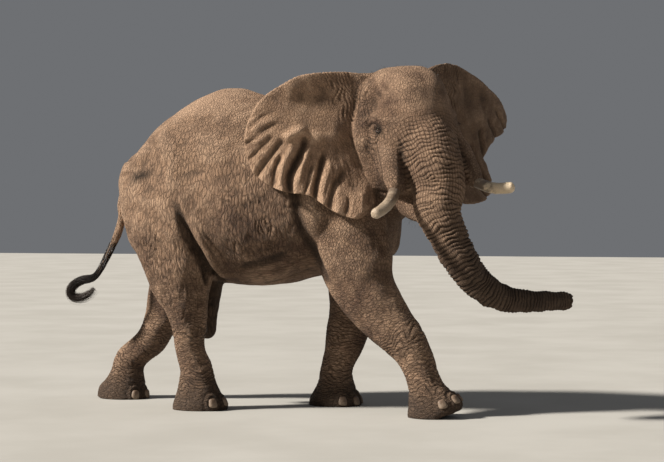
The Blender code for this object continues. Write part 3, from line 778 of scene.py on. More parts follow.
@dataclass
class EarSheet:
    """The curved sheet of an ear. It leaves the head at one sweep and turns back at a steady rate."""

    side: Side
    thickness: float = EAR_THICKNESS

    def __post_init__(self) -> None:
        """Works out the sheet's curve and outline."""
        self.start, self.end = (math.radians(a) for a in EAR_SWEEP[self.side])
        self.rate = (self.end - self.start) / EAR_SPAN
        outline = np.array(EAR_OUTLINE[self.side] + EAR_OUTLINE[self.side][:1])
        self.outline = carried(outline, 5, measure=2)[:-1]

    def fall(self, height: Array) -> Array:
        """The share of its flare and advance that the ear has at a height."""
        return np.maximum(0.0, (EAR_FLARE_START - height) / EAR_FLARE_REACH) ** 2

    def place(self, out: Array, height: Array, lift: Array) -> Array:
        """Points at a distance out along the arc and a height, lifted off the sheet, in the body frame.

        Args:
            out: distances from the root along the arc.
            height: heights in the head's axes.
            lift: distances off the sheet.

        Returns:
            Places in the body frame.
        """
        angle = self.start + self.rate * out
        lateral = EAR_ROOT[1] + (np.sin(angle) - math.sin(self.start)) / self.rate
        lateral = lateral + EAR_FLARE * self.fall(height) + lift * np.sin(angle)
        forward = EAR_ROOT[0] - (math.cos(self.start) - np.cos(angle)) / self.rate + lift * np.cos(angle)
        forward = forward + EAR_ADVANCE * self.fall(height)
        return from_head(np.stack([forward, lateral, height], -1), self.side)

    def locate(self, points: Array) -> EarPlace:
        """Where points lie on the sheet, by undoing place: the angle is read round the arc's centre.

        Args:
            points: places in the body frame.

        Returns:
            Their places on the sheet.
        """
        head = to_head(points)
        height = head[:, 2]
        fall = self.fall(height)
        across = self.side.value * head[:, 1] - EAR_FLARE * fall - EAR_ROOT[1]
        across += math.sin(self.start) / self.rate
        along = head[:, 0] - EAR_ADVANCE * fall - EAR_ROOT[0] + math.cos(self.start) / self.rate
        out = (np.arctan2(across, along) - self.start) / self.rate
        lift = np.hypot(across, along) - 1 / self.rate
        flat = np.stack([out, height], -1)
        gap, _ = distance_to_path(flat, np.vstack([self.outline, self.outline[:1]]))
        inside = np.where(self.within(flat), gap, -gap)
        near = ramp(np.abs(lift), 0.075, 0.045) * ramp(inside, -0.03, -0.012)
        free = out - np.interp(height, (-0.60, -0.35, -0.10), (-0.25, -0.10, 0.02))
        return EarPlace(out, height, lift, near * ramp(free, 0.0, 0.12))

    def within(self, flat: Array) -> Array:
        """Whether points of the sheet lie inside its outline, by counting the edges to one side.

        Args:
            flat: distances out and heights.

        Returns:
            True for the places inside.
        """
        odd = np.zeros(len(flat), bool)
        for start, end in zip(self.outline, np.roll(self.outline, -1, axis=0)):
            spans = (start[1] > flat[:, 1]) != (end[1] > flat[:, 1])
            rise = end[1] - start[1] or 1e-9
            crossing = start[0] + (flat[:, 1] - start[1]) / rise * (end[0] - start[0])
            odd ^= spans & (flat[:, 0] < crossing)
        return odd

    def surface(self) -> Surface:
        """The sheet as a closed form: rings shrink from the outline to the middle on both faces.

        Returns:
            The closed form of both faces.
        """
        count = len(self.outline)
        rings = []
        for sign, shares in ((1.0, (0.02, 0.3, 0.6, 0.85, 1.0)), (-1.0, (1.0, 0.85, 0.6, 0.3, 0.02))):
            for share in shares:
                flat = EAR_MIDDLE + (self.outline - EAR_MIDDLE) * share
                half = self.thickness * (1.0 - 0.45 * share) * sign
                rings.append(self.place(flat[:, 0], flat[:, 1], np.full(count, half)))
        return capped(np.vstack(rings), count)


@dataclass(frozen=True)
class Leg:
    """A leg's stations, its foot and where that stands."""

    name: str
    stations: Rows
    foot: Rows
    top_y: float
    sole: Point
    pitch: float  # degrees, toes up
    nails: tuple[float, ...]  # degrees from straight ahead

    def tube(self) -> Tube:
        """The leg down to its foot, whose sole is centred at sole and tipped up by pitch.

        Returns:
            The tube from the top of the leg to its sole.
        """
        rows = []
        top = self.stations[0][1]
        for x, z, width, fore, back in self.stations:
            share = (top - z) / (top - self.sole[2])
            rows.append((x, self.top_y + (self.sole[1] - self.top_y) * share, z, width, fore, back))
        lean = math.radians(self.pitch)
        for height, width, fore, back in self.foot:
            x = self.sole[0] - math.sin(lean) * height
            rows.append((x, self.sole[1], self.sole[2] + math.cos(lean) * height, width, fore, back))
        return Tube(np.array(rows))

    def nail_frames(self) -> list[Matrix]:
        """The middle and axes (out, round, up) of each toenail, kept just clear of the floor.

        Returns:
            One matrix for each toenail.
        """
        lean = Matrix.Rotation(-math.radians(self.pitch), 4, "Y")
        sole = Matrix.Translation(self.sole) @ lean
        frames = []
        for degrees in self.nails:
            turn = math.radians(degrees)
            ahead = math.cos(turn) * (self.foot[3][2] - 0.012)
            aside = math.sin(turn) * (self.foot[3][1] - 0.008)
            spot = sole @ Vector((ahead, aside, 0.066))
            spot.z = max(spot.z, 0.050)
            frames.append(Matrix.Translation(spot) @ lean @ Matrix.Rotation(turn, 4, "Z"))
        return frames


FORE_NAILS = (-58.0, -20.0, 20.0, 58.0)
HIND_NAILS = (-42.0, 0.0, 42.0)
LEGS = (
    Leg("fore_right", FORE_RIGHT, FORE_FOOT, -0.42, (1.115, -0.39, 0.035), 20.0, FORE_NAILS),
    Leg("fore_left", FORE_LEFT, FORE_FOOT, 0.42, (-0.075, 0.35, 0.0), -3.0, FORE_NAILS),
    Leg("hind_right", HIND_RIGHT, HIND_FOOT, -0.40, (-1.235, -0.38, 0.0), 3.0, HIND_NAILS),
    Leg("hind_left", HIND_LEFT, HIND_FOOT, 0.40, (-2.36, 0.37, 0.0), -14.0, HIND_NAILS),
)
# The solids that the skin stands for.
FLESH_NODES = (
    "head", "lower_jaw", "trunk_1", "trunk_2", "trunk_3", "trunk_4", "ear_left", "ear_right",
    "neck", "torso", "hindquarters", "tail_upper", "tail_lower",
)
LIMB_NODES = tuple(f"leg_{leg.name}_{part}" for leg in LEGS for part in ("upper", "lower", "foot"))


# --- Folds of the skin ---


@dataclass(frozen=True)
class Fold:
    """A valley of the skin along a path, or a ridge when depth is negative.

    Attributes:
        path: corners in the two coordinates of the region it lies on, in metres.
        width: half width where it is e^-1 deep.
        depth: at the middle of its length.
        fade: shares of its length over which it starts and ends.
    """

    path: tuple[tuple[float, float], ...]
    width: float
    depth: float
    fade: tuple[float, float] = (0.25, 0.25)

    def height(self, flat: Array) -> Array:
        """Displacement at points: -depth exp(-(d/width)^2), fading towards both ends.

        Args:
            flat: places in the two coordinates of the region.

        Returns:
            The displacement of each.
        """
        reach = 2.6 * self.width
        path = carried(np.array(self.path), 5, measure=2) if len(self.path) > 2 else np.array(self.path)
        low, high = path.min(axis=0) - reach, path.max(axis=0) + reach
        near = np.all((flat > low) & (flat < high), axis=1)
        raised = np.zeros(len(flat))
        if near.any():
            gap, share = distance_to_path(flat[near], path)
            ends = ramp(share, -0.02, self.fade[0]) * ramp(share, 1.02, 1 - self.fade[1])
            raised[near] = -self.depth * bell(gap, self.width) * ends
        return raised


NARROW = 0.046  # folds under this half width get painted shade and dirt in their valleys
# Folds of the near ear: distance out from its root and height.
EAR_FOLDS_RIGHT = (
    Fold(
        ((0.57, 0.055), (0.595, -0.055), (0.64, -0.14), (0.70, -0.24), (0.73, -0.35), (0.69, -0.49)),
        0.036, 0.070, (0.16, 0.0),
    ),
    Fold(((0.54, -0.04), (0.595, -0.18), (0.63, -0.32), (0.60, -0.46)), 0.028, -0.022, (0.25, 0.4)),
    Fold(
        ((0.70, 0.01), (0.72, -0.10), (0.79, -0.225), (0.80, -0.36), (0.76, -0.47)),
        0.040, -0.028, (0.25, 0.0),
    ),
    Fold(((0.80, 0.00), (0.69, 0.065), (0.62, 0.085), (0.54, 0.065)), 0.050, -0.042, (0.3, 0.3)),
    Fold(((0.56, 0.03), (0.36, 0.025), (0.18, 0.00)), 0.080, -0.016, (0.3, 0.4)),
    Fold(
        ((0.40, -0.10), (0.435, -0.226), (0.45, -0.304), (0.455, -0.46), (0.42, -0.58)),
        0.030, 0.056, (0.25, 0.0),
    ),
    Fold(((0.51, -0.20), (0.545, -0.336), (0.55, -0.51)), 0.018, 0.020, (0.35, 0.0)),
    Fold(((0.34, -0.18), (0.375, -0.34), (0.38, -0.48)), 0.030, -0.014, (0.3, 0.5)),
    Fold(
        ((0.20, -0.26), (0.256, -0.372), (0.285, -0.46), (0.28, -0.563), (0.24, -0.69)),
        0.040, 0.036, (0.3, 0.0),
    ),
    Fold(((0.13, -0.52), (0.09, -0.62), (0.04, -0.75)), 0.022, 0.013, (0.35, 0.0)),
    Fold(((0.79, -0.10), (0.86, -0.22), (0.876, -0.41)), 0.026, 0.026, (0.3, 0.0)),
    Fold(((0.75, 0.05), (0.864, -0.072), (0.985, -0.208), (1.04, -0.31)), 0.030, 0.022, (0.3, 0.0)),
    Fold(((0.84, 0.085), (0.96, -0.01), (1.13, -0.15)), 0.022, 0.013, (0.3, 0.0)),
    Fold(((0.74, 0.19), (0.90, 0.15), (1.13, 0.00)), 0.030, 0.015, (0.3, 0.0)),
    Fold(((0.80, 0.30), (0.93, 0.26), (1.10, 0.15)), 0.024, 0.008, (0.3, 0.0)),
    Fold(((0.72, 0.40), (0.50, 0.365), (0.30, 0.33), (0.23, 0.13)), 0.120, 0.022, (0.25, 0.3)),
    Fold(((-0.12, -0.72), (-0.02, -0.60), (0.04, -0.44)), 0.080, -0.020, (0.1, 0.4)),
)
EAR_FOLDS_LEFT = (
    Fold(((0.54, 0.02), (0.58, -0.15), (0.60, -0.32)), 0.034, 0.036, (0.3, 0.0)),
    Fold(((0.40, -0.10), (0.42, -0.32), (0.43, -0.60)), 0.034, 0.040, (0.3, 0.0)),
    Fold(((0.22, -0.25), (0.24, -0.45), (0.24, -0.70)), 0.030, 0.034, (0.3, 0.0)),
    Fold(((0.70, 0.10), (0.80, -0.02), (0.90, -0.16)), 0.030, 0.026, (0.3, 0.0)),
    Fold(((0.85, 0.18), (0.98, 0.06), (1.10, -0.06)), 0.024, 0.020, (0.3, 0.0)),
    Fold(((0.30, 0.06), (0.48, 0.10), (0.66, 0.12)), 0.080, -0.026),
    Fold(((0.30, 0.32), (0.55, 0.30), (0.75, 0.25)), 0.110, 0.024),
)
# Folds of the side of the head: angle round from straight ahead times HEAD_WRAP, and height.
HEAD_WRAP = 0.5


def wrapped(*corners: tuple[float, float]) -> tuple[tuple[float, float], ...]:
    """Corners given as degrees round the head and height, as lengths."""
    return tuple((math.radians(degrees) * HEAD_WRAP, up) for degrees, up in corners)


HEAD_FOLDS = (
    Fold(wrapped((33, 0.02), (30.5, -0.16), (30.5, -0.35), (31, -0.60)), 0.024, 0.014),
    Fold(wrapped((62, -0.05), (55, -0.15), (49, -0.29), (46, -0.46)), 0.014, 0.014),
    Fold(wrapped((71, -0.07), (63, -0.20), (57, -0.34), (51, -0.46)), 0.014, 0.010),
    Fold(wrapped((77, -0.11), (70, -0.24), (62, -0.40)), 0.015, 0.008),
    Fold(wrapped((73, 0.00), (68, -0.045), (61, -0.05), (55, 0.00)), 0.009, 0.010),
    Fold(wrapped((76, -0.02), (69, -0.085), (60, -0.09), (52, -0.02)), 0.011, 0.009),
    Fold(wrapped((80, -0.05), (72, -0.13), (62, -0.14)), 0.012, 0.006),
    Fold(wrapped((73, 0.065), (67, 0.095), (60, 0.095), (54, 0.06)), 0.011, 0.012),
    Fold(wrapped((77, 0.09), (68, 0.145), (58, 0.14), (50, 0.08)), 0.013, 0.008),
    Fold(wrapped((50, 0.06), (46, -0.04), (43, -0.15)), 0.012, 0.007),
    Fold(wrapped((44, 0.02), (43, -0.15), (43, -0.34), (41, -0.50)), 0.055, -0.014),
    Fold(wrapped((80, 0.11), (66, 0.16), (53, 0.14)), 0.045, -0.020),
    Fold(wrapped((96, -0.04), (84, -0.06), (72, -0.10)), 0.050, -0.016),
    Fold(wrapped((90, -0.20), (77, -0.24), (65, -0.28)), 0.080, 0.010),
    Fold(wrapped((70, 0.24), (62, 0.31), (56, 0.40)), 0.070, 0.014),
    Fold(wrapped((84, 0.50), (88, 0.38), (86, 0.25), (90, 0.12)), 0.012, 0.009),
    Fold(wrapped((92, 0.46), (96, 0.34), (94, 0.20), (98, 0.06)), 0.013, 0.010),
    Fold(wrapped((76, 0.47), (79, 0.36), (78, 0.26)), 0.020, 0.006),
    Fold(wrapped((66, 0.46), (60, 0.38), (52, 0.34)), 0.030, 0.006),
    Fold(wrapped((58, 0.50), (50, 0.44), (40, 0.42)), 0.026, 0.004),
    Fold(wrapped((96, 0.02), (88, -0.02), (82, 0.02)), 0.011, 0.007),
    Fold(wrapped((92, -0.12), (84, -0.15), (78, -0.16)), 0.011, 0.006),
)
# Folds of the flanks: x and height.
FLANK_FOLDS = (
    Fold(
        ((-1.37, 2.06), (-1.27, 1.76), (-1.18, 1.56), (-1.11, 1.40), (-1.07, 1.22)),
        0.040, 0.095, (0.5, 0.0),
    ),
    Fold(((-1.20, 1.97), (-1.09, 1.69), (-1.01, 1.43), (-0.98, 1.26)), 0.055, -0.036, (0.4, 0.1)),
    Fold(((-1.50, 2.05), (-1.41, 1.72), (-1.32, 1.45), (-1.26, 1.20)), 0.100, -0.040, (0.5, 0.2)),
    Fold(((-1.15, 1.86), (-1.05, 1.64), (-0.97, 1.44), (-0.94, 1.30)), 0.014, 0.010),
    Fold(((-1.08, 1.78), (-0.98, 1.60), (-0.90, 1.45), (-0.86, 1.36)), 0.014, 0.008),
    Fold(((-0.86, 1.36), (-0.53, 1.43), (-0.32, 1.50), (-0.17, 1.56)), 0.034, 0.032, (0.35, 0.4)),
    Fold(((-0.80, 1.27), (-0.55, 1.31), (-0.32, 1.38), (-0.16, 1.44)), 0.065, -0.030, (0.3, 0.4)),
    Fold(((-0.72, 1.22), (-0.50, 1.245), (-0.25, 1.31), (-0.02, 1.40)), 0.014, 0.010),
    Fold(((-0.62, 1.33), (-0.40, 1.38), (-0.20, 1.45), (-0.02, 1.53)), 0.012, 0.008),
    Fold(((-0.16, 2.10), (-0.10, 1.76), (0.0, 1.50), (0.08, 1.30), (0.13, 1.14)), 0.045, 0.036, (0.0, 0.3)),
    Fold(((-0.02, 2.10), (0.04, 1.76), (0.12, 1.50), (0.20, 1.32)), 0.085, -0.028, (0.0, 0.4)),
    Fold(((-1.66, 2.78), (-1.50, 2.51), (-1.42, 2.26), (-1.38, 2.05)), 0.085, -0.030),
    Fold(((-1.82, 2.50), (-1.72, 2.25), (-1.68, 2.00)), 0.120, 0.030),
    Fold(((-1.40, 2.62), (-1.20, 2.42), (-1.12, 2.16)), 0.130, 0.020),
    Fold(((-2.02, 2.42), (-2.00, 2.28)), 0.080, -0.028),
)
# Folds of the near foreleg and thigh, in x and height as well.
FORELEG_FOLDS = (
    Fold(((0.34, 1.34), (0.42, 1.18), (0.48, 1.02)), 0.018, 0.006),
    Fold(((0.28, 1.22), (0.38, 1.08), (0.46, 0.96)), 0.018, 0.005),
    Fold(((0.54, 1.78), (0.62, 1.62), (0.66, 1.46)), 0.018, 0.008),
    Fold(((0.46, 1.84), (0.56, 1.68), (0.60, 1.50)), 0.016, 0.006),
)


def fold_sum(flat: Array, folds: tuple[Fold, ...]) -> tuple[Array, Array]:
    """All the folds' displacements together, and how deep the narrow ones among them are.

    Args:
        flat: places in the two coordinates of the region.
        folds: the folds that lie there.

    Returns:
        The sum of the displacements, and the depth of the narrow valleys.
    """
    raised, deep = np.zeros(len(flat)), np.zeros(len(flat))
    for fold in folds:
        height = fold.height(flat)
        raised += height
        if fold.width < NARROW:
            deep += np.maximum(0.0, -height)
    return raised, deep


# The skull's and jaw's larger forms: height, centre and reach, mirrored about the head's middle.
HEAD_BUMPS = (
    (0.024, (0.36, 0.15, 0.40), (0.18, 0.12, 0.16)),
    (-0.006, (0.50, 0.0, 0.34), (0.20, 0.10, 0.20)),
    (0.036, (-0.02, 0.27, 0.50), (0.20, 0.16, 0.18)),
    (0.022, (0.27, 0.38, 0.02), (0.15, 0.16, 0.13)),
    (0.026, (0.25, 0.39, 0.125), (0.13, 0.16, 0.045)),
    (-0.020, (0.14, 0.36, 0.31), (0.15, 0.16, 0.14)),
    (0.018, (0.46, 0.30, -0.20), (0.12, 0.12, 0.20)),
    (-0.006, (0.22, 0.42, -0.24), (0.14, 0.16, 0.14)),
    (0.020, (0.38, 0.38, -0.24), (0.10, 0.12, 0.16)),
    (0.022, (0.02, 0.40, -0.40), (0.14, 0.16, 0.12)),
    (0.014, (0.36, 0.06, -0.80), (0.08, 0.10, 0.05)),
)
MOUTH = Fold(((0.43, -0.655), (0.30, -0.60), (0.12, -0.545), (0.02, -0.50)), 0.013, 0.028, (0.05, 0.4))


@dataclass
class Relief:
    """What the sculpting knows of each point: how far it moves, its creases and the run of its wrinkles.

    A run is a phase that rises by one from each wrinkle to the next. Only the strongest set of
    wrinkles at a point is noted, with how far it outweighs the others.
    """

    height: Array
    crease: Array
    phase: Array
    first: Array
    second: Array

    @classmethod
    def flat(cls, count: int) -> "Relief":
        """No relief yet."""
        return cls(*(np.zeros(count) for _ in range(5)))

    def add(self, height: Array, shading: float = 1.0) -> None:
        """Adds a displacement, whose valleys also count as creases, painted dark as shade, by the share
        given.
        """
        self.height += height
        self.crease += np.maximum(0.0, -height) * shading

    def fold(self, flat: Array, folds: tuple[Fold, ...], weight: Array) -> None:
        """Adds folds by a weight, with creases in the narrow ones.

        Args:
            flat: places in the two coordinates of the region.
            folds: the folds that lie there.
            weight: of each point.
        """
        raised, deep = fold_sum(flat, folds)
        self.height += raised * weight
        self.crease += deep * weight

    def run(self, phase: Array, weight: Array) -> None:
        """Notes a set of wrinkles where it is the strongest so far.

        Args:
            phase: rises by one from wrinkle to wrinkle.
            weight: of the set at each point.
        """
        stronger = weight > self.first
        self.second = np.where(stronger, self.first, np.maximum(self.second, weight))
        self.first = np.where(stronger, weight, self.first)
        self.phase = np.where(stronger, phase, self.phase)


# --- The skin ---


@dataclass(frozen=True)
class EyeOpening:
    """An eye's own axes, its ball and the almond-shaped opening between its lids."""

    side: Side
    radius: float = EYE_RADIUS
    half_width: float = 0.0265
    above: float = 0.0170
    below: float = 0.0125
    tilt: float = math.radians(-16.0)
    lid: float = 0.0048

    def axes(self) -> Array:
        """Directions towards the front corner, up and out of the socket, as rows in the body frame.

        Returns:
            Three rows: front, up and out.
        """
        out = unit(np.array((0.56, 0.82, 0.08)))
        front = unit(np.cross(out, (0.0, 0.0, 1.0)))
        front = front if front[0] > 0 else -front
        up = np.cross(front, out) if np.cross(front, out)[2] > 0 else np.cross(out, front)
        turned = front * math.cos(self.tilt) + up * math.sin(self.tilt)
        rows = np.array((turned, up * math.cos(self.tilt) - front * math.sin(self.tilt), out))
        return (rows * np.array((1.0, self.side.value, 1.0))) @ head_turn().T

    def centre(self) -> Array:
        """The middle of the eyeball."""
        return from_head(np.array(EYE_PLACE), self.side)[0]

    def local(self, points: Array) -> Array:
        """Places as lengths along the eye's axes."""
        return (points - self.centre()) @ self.axes().T

    def rim(self, across: Array) -> tuple[Array, Array]:
        """Heights of the upper and lower rim at a place across the opening: h (1 - (a/A)^2)."""
        arch = np.clip(1 - (across / self.half_width) ** 2, 0, None)
        return self.above * arch**0.8, -self.below * arch**0.9

    def beyond(self, local: Array) -> Array:
        """About how far outside the opening places are, negative inside it.

        Args:
            local: places along the eye's axes.

        Returns:
            Distances from the rim of the opening.
        """
        upper, lower = self.rim(local[:, 0])
        gap = np.maximum(local[:, 1] - upper, lower - local[:, 1])
        past = np.abs(local[:, 0]) - self.half_width
        corner = np.hypot(np.maximum(past, 0), local[:, 1])
        return np.where(past > 0, corner, gap * 0.85)


@dataclass
class Skin:
    """All the flesh as one skin.

    The forms are joined on a fine grid, their joins are eased, and the folds are then a
    displacement along the surface's normals. The mesh is thinned where it is smooth.
    """

    voxel: float = FULL_GRID
    easing: int = 34  # rounds on the full grid
    triangles: int = 194_000
    trunk_rings: tuple[float, ...] = (0.036, 0.043, 0.040, 0.028)  # from ring to ring
    trunk_net: float = 8.0  # lengthwise cracks to a radian of the trunk
    limb_stain: float = 0.78  # how dark the end of the trunk and the feet are
    # how dark the far ear's front is painted, as painted shade
    far_ear_painted_shade: float = 0.42
    # how dark the sheath is painted, as painted shade
    sheath_painted_shade: float = 0.75
    ears: dict = field(default_factory=lambda: {side: EarSheet(side) for side in Side})
    eyes: dict = field(default_factory=lambda: {side: EyeOpening(side) for side in Side})

    def trunk(self) -> Tube:
        """The trunk from between the eyes to its tip.

        Returns:
            The tube.
        """
        left = tuple(head_turn()[:, 1])
        root = from_head(np.array([(f, 0.0, u) for f, u, _, _ in TRUNK_ROOT]))
        rows = [(*place, w, d, d) for place, (_, _, w, d) in zip(root, TRUNK_ROOT)]
        rows += [(x, y, z, w, d, d) for x, y, z, w, d in TRUNK]
        return Tube(np.array(rows), side=left)

    def tail(self) -> Tube:
        """The fleshy part of the tail."""
        return Tube(np.array([(x, 0.0, z, r, r, r) for x, z, r in TAIL[:TAIL_FLESH]]))

    def forms(self) -> Surface:
        """Every form of the flesh, as closed surfaces that run into each other.

        Returns:
            All the closed forms, not yet joined.
        """
        left, forward = tuple(head_turn()[:, 1]), tuple(head_turn()[:, 0])
        torso = np.array([(x, 0.0, z, w, up, down) for x, z, w, up, down in TORSO])
        sheath = np.array([(x, 0.0, z, r, r, r) for x, z, r in SHEATH])
        cranium = [(*from_head((f, 0.0, u))[0], w, fore, back) for f, u, w, fore, back in CRANIUM]
        jaw = [(*from_head((f, 0.0, u))[0], w, d, d) for f, u, w, d in JAW]
        tubes = [
            (Tube(torso, upright=(0.0, 0.0, 1.0)), 8, 72),
            (Tube(np.array(NECK)), 8, 60),
            (Tube(sheath), 6, 32),
            (self.tail(), 6, 20),
            (Tube(np.array(cranium), side=left, upright=forward), 8, 72),
            (Tube(np.array(jaw), side=left), 8, 40),
            (self.trunk(), 8, 60),
        ]
        tubes += [(leg.tube(), 8, 48) for leg in LEGS]
        for side in Side:
            for stations in (TUSK_SHEATH, CHEEK):
                rows = [(*from_head((f, s, u), side)[0], r, r, r) for f, s, u, r in stations]
                tubes.append((Tube(np.array(rows), side=left), 8, 32))
        whole = self.ears[Side.LEFT].surface().joined(self.ears[Side.RIGHT].surface())
        for tube, per, columns in tubes:
            whole = whole.joined(tube.surface(per, columns))
        return whole

    def joined(self) -> Mesh:
        """The forms as one closed mesh on a fine grid, with its joins eased.

        Returns:
            The joined mesh.
        """
        mesh = self.forms().mesh("skin")
        thing = placed("skin_forms", mesh)
        face_out(mesh)
        blend = thing.modifiers.new("blend", "REMESH")
        blend.mode = "VOXEL"
        blend.voxel_size = self.voxel
        settled(thing)
        mesh = thing.data
        bpy.data.objects.remove(thing)
        points = mesh_points(mesh)
        pull = np.full(len(points), 0.5)
        for ear in self.ears.values():
            pull -= 0.44 * ear.locate(points).weight
        tip = np.linalg.norm(points - np.array(TRUNK[-2][:3]), axis=1)
        pull *= 0.3 + 0.7 * ramp(tip, 0.08, 0.25)
        pull *= 0.25 + 0.75 * ramp(points[:, 0], -2.22, -2.08)
        passes = max(4, round(self.easing * (FULL_GRID / self.voxel) ** 2))
        set_points(mesh, relaxed(points, mesh_edges(mesh), np.clip(pull, 0.04, 0.5), passes))
        return mesh

    def refined(self, mesh: Mesh, centre: Array, radius: float) -> None:
        """Splits the edges within radius of centre in two.

        Args:
            mesh: the skin.
            centre: middle of the finer part.
            radius: its reach.
        """
        middle = Vector(centre)
        with edited(mesh) as form:
            near = [e for e in form.edges if all((v.co - middle).length < radius for v in e.verts)]
            bmesh.ops.subdivide_edges(form, edges=near, cuts=1, use_grid_fill=True)

    def head_shape(self, points: Array, normals: Array) -> Array:
        """The skull's and the jaw's larger forms as displacements: soft bumps and hollows.

        Args:
            points: the skin's points.
            normals: their normals.

        Returns:
            How far each moves along its normal.
        """
        head = to_head(points)
        sided = np.abs(head) * np.array((0, 1, 0)) + head * np.array((1, 0, 1))
        raised = sum(height * bump(sided, centre, reach) for height, centre, reach in HEAD_BUMPS)
        lateral = np.abs(normals @ head_turn()[:, 1])
        sideways = ramp(lateral, 0.25, 0.6) * ramp(sided[:, 1], 0.05, 0.12)
        raised += MOUTH.height(head[:, [0, 2]]) * sideways
        return raised

    def head_folds(self, points: Array, relief: Relief, ear: Array) -> None:
        """Folds of the face and the wrinkles that hug the roots of the ears.

        Args:
            points: the skin's points.
            relief: takes the folds.
            ear: the ears' share in each point.
        """
        head = to_head(points)
        turn = np.arctan2(np.abs(head[:, 1]), head[:, 0])
        round_head = np.stack([turn * HEAD_WRAP, head[:, 2]], -1)
        close = np.hypot(head[:, 0], head[:, 1]) < 0.80
        mine = close * (1 - ear) * ramp(head[:, 2], -0.74, -0.66) * ramp(head[:, 0], -0.12, 0.0)
        relief.fold(round_head, HEAD_FOLDS, mine)
        for sheet in self.ears.values():
            place = sheet.locate(points)
            border = np.interp(place.height, *EAR_BORDER)
            q = place.out - border
            level = ramp(place.height, 0.0, 0.16) * ramp(np.abs(place.lift), 0.34, 0.16)
            zone = ramp(q, -0.24, -0.12) * ramp(q, 0.05, -0.01) * level
            zone *= ramp(place.lift, -0.03, 0.005)
            wander = 0.35 * waves(points, 0.24, 11) + 0.12 * waves(points, 0.09, 12)
            depth = 0.0065 * (0.8 + 0.4 * waves(points, 0.18, 13))
            relief.add(-depth * groove(q / 0.032 + wander, 0.24) * zone, 0.7)

    def trunk_folds(self, points: Array, relief: Relief, ear: Array) -> tuple[Array, ...]:
        """Rings round the trunk, and lengthwise cracks that part its root into squares.

        Args:
            points: the skin's points.
            relief: takes the rings and cracks.
            ear: the ears' share in each point.

        Returns:
            The trunk's share in each point, its length there, the cracks' phase and their share.
        """
        place = self.trunk().locate(points)
        head = to_head(points)
        mine = ramp(place.share, 1.40, 1.18) * (1 - ear) * ramp(head[:, 0], 0.20, 0.36)
        run = np.linspace(0.0, 4.0, 200)
        every = np.interp(run, (0.2, 0.9, 1.4, 2.6), self.trunk_rings)
        counted = np.concatenate([[0.0], np.cumsum(np.diff(run) / every[1:])])
        ring = np.interp(place.along, run, counted)
        ring += 0.20 * waves(points, 0.30, 21) + 0.14 * waves(points, 0.10, 22)
        depth = 0.0075 * ramp(place.along, 0.16, 0.50) + 0.0030 * ramp(place.along, 1.0, 1.5)
        depth -= 0.0045 * ramp(place.along, 2.2, 2.8)
        depth *= 1 + 0.30 * waves(points, 0.14, 23)
        relief.add(-depth * groove(ring, 0.22) * mine, 1.0)
        relief.run(ring, mine * ramp(place.along, 0.10, 0.30))
        turn = np.arctan2(np.cos(place.angle), np.sin(place.angle))  # 0 in front, so it jumps behind
        cross = turn * self.trunk_net + 0.28 * waves(points, 0.25, 24)
        lengthwise = ramp(place.along, 0.14, 0.36) * ramp(place.along, 1.9, 1.1)
        relief.add(-0.0030 * groove(cross, 0.22) * lengthwise * mine, 0.7)
        swell = waves(np.stack([place.along, place.angle * 0.12], -1), 0.13, 25)
        relief.add(0.0035 * swell * mine * ramp(place.along, 0.7, 1.2), 0.3)
        return mine, place.along, cross, lengthwise * mine

    def body_folds(self, points: Array, normals: Array, relief: Relief, flesh: Array) -> None:
        """Folds and long wrinkles of the flanks, belly, shoulders and thighs.

        Args:
            points: the skin's points.
            normals: their normals.
            relief: takes the folds.
            flesh: share of the body without its head, ears and trunk.
        """
        x, y, z = points.T
        for side in Side:
            facing = ramp(side.value * normals[:, 1], 0.05, 0.40) * (side.value * y > 0.0) * flesh
            shift = 0.0 if side is Side.RIGHT else 0.22
            flat = np.stack([x + shift, z], -1)
            relief.fold(flat, FLANK_FOLDS, facing)
            if side is Side.RIGHT:
                relief.fold(flat, FORELEG_FOLDS, facing)
            flank = ramp(x, -1.05, -0.75) * ramp(x, -0.02, -0.16)
            flank *= ramp(z, 1.36, 1.52) * ramp(z, 2.35, 2.05)
            wander = 0.55 * waves(points * (1, 1, 0.35), 0.20, 31)
            wander += 0.25 * waves(points * (1, 1, 0.4), 0.08, 32)
            depth = 0.0078 * (0.75 + 0.45 * waves(points, 0.16, 33)) * facing * flank
            lean = x + 0.10 * (z - 1.8) - 0.05 * (z - 1.8) ** 2
            relief.add(-depth * groove(lean / 0.052 + wander, 0.22), 0.6)
            thigh = ramp(z, 1.95, 1.55) * ramp(z, 0.55, 0.8) * ramp(x, -1.10, -1.22)
            steep = x + 0.30 * (z - 1.4) + 0.5 * shift
            worn = 0.0072 * (0.8 + 0.4 * waves(points, 0.16, 36))
            relief.add(-worn * groove(steep / 0.056 + 1.1 * wander, 0.22) * thigh * facing, 0.6)
        swell = 0.006 * waves(points, 0.45, 34) + 0.0016 * waves(points, 0.17, 35)
        relief.add(swell * flesh, 0.0)
        spine = 0.018 * bell(y, 0.07) * ramp(z, 2.6, 2.8) * ramp(x, 0.3, 0.0)
        relief.add(spine * flesh * ramp(x, -2.1, -1.8), 0.0)

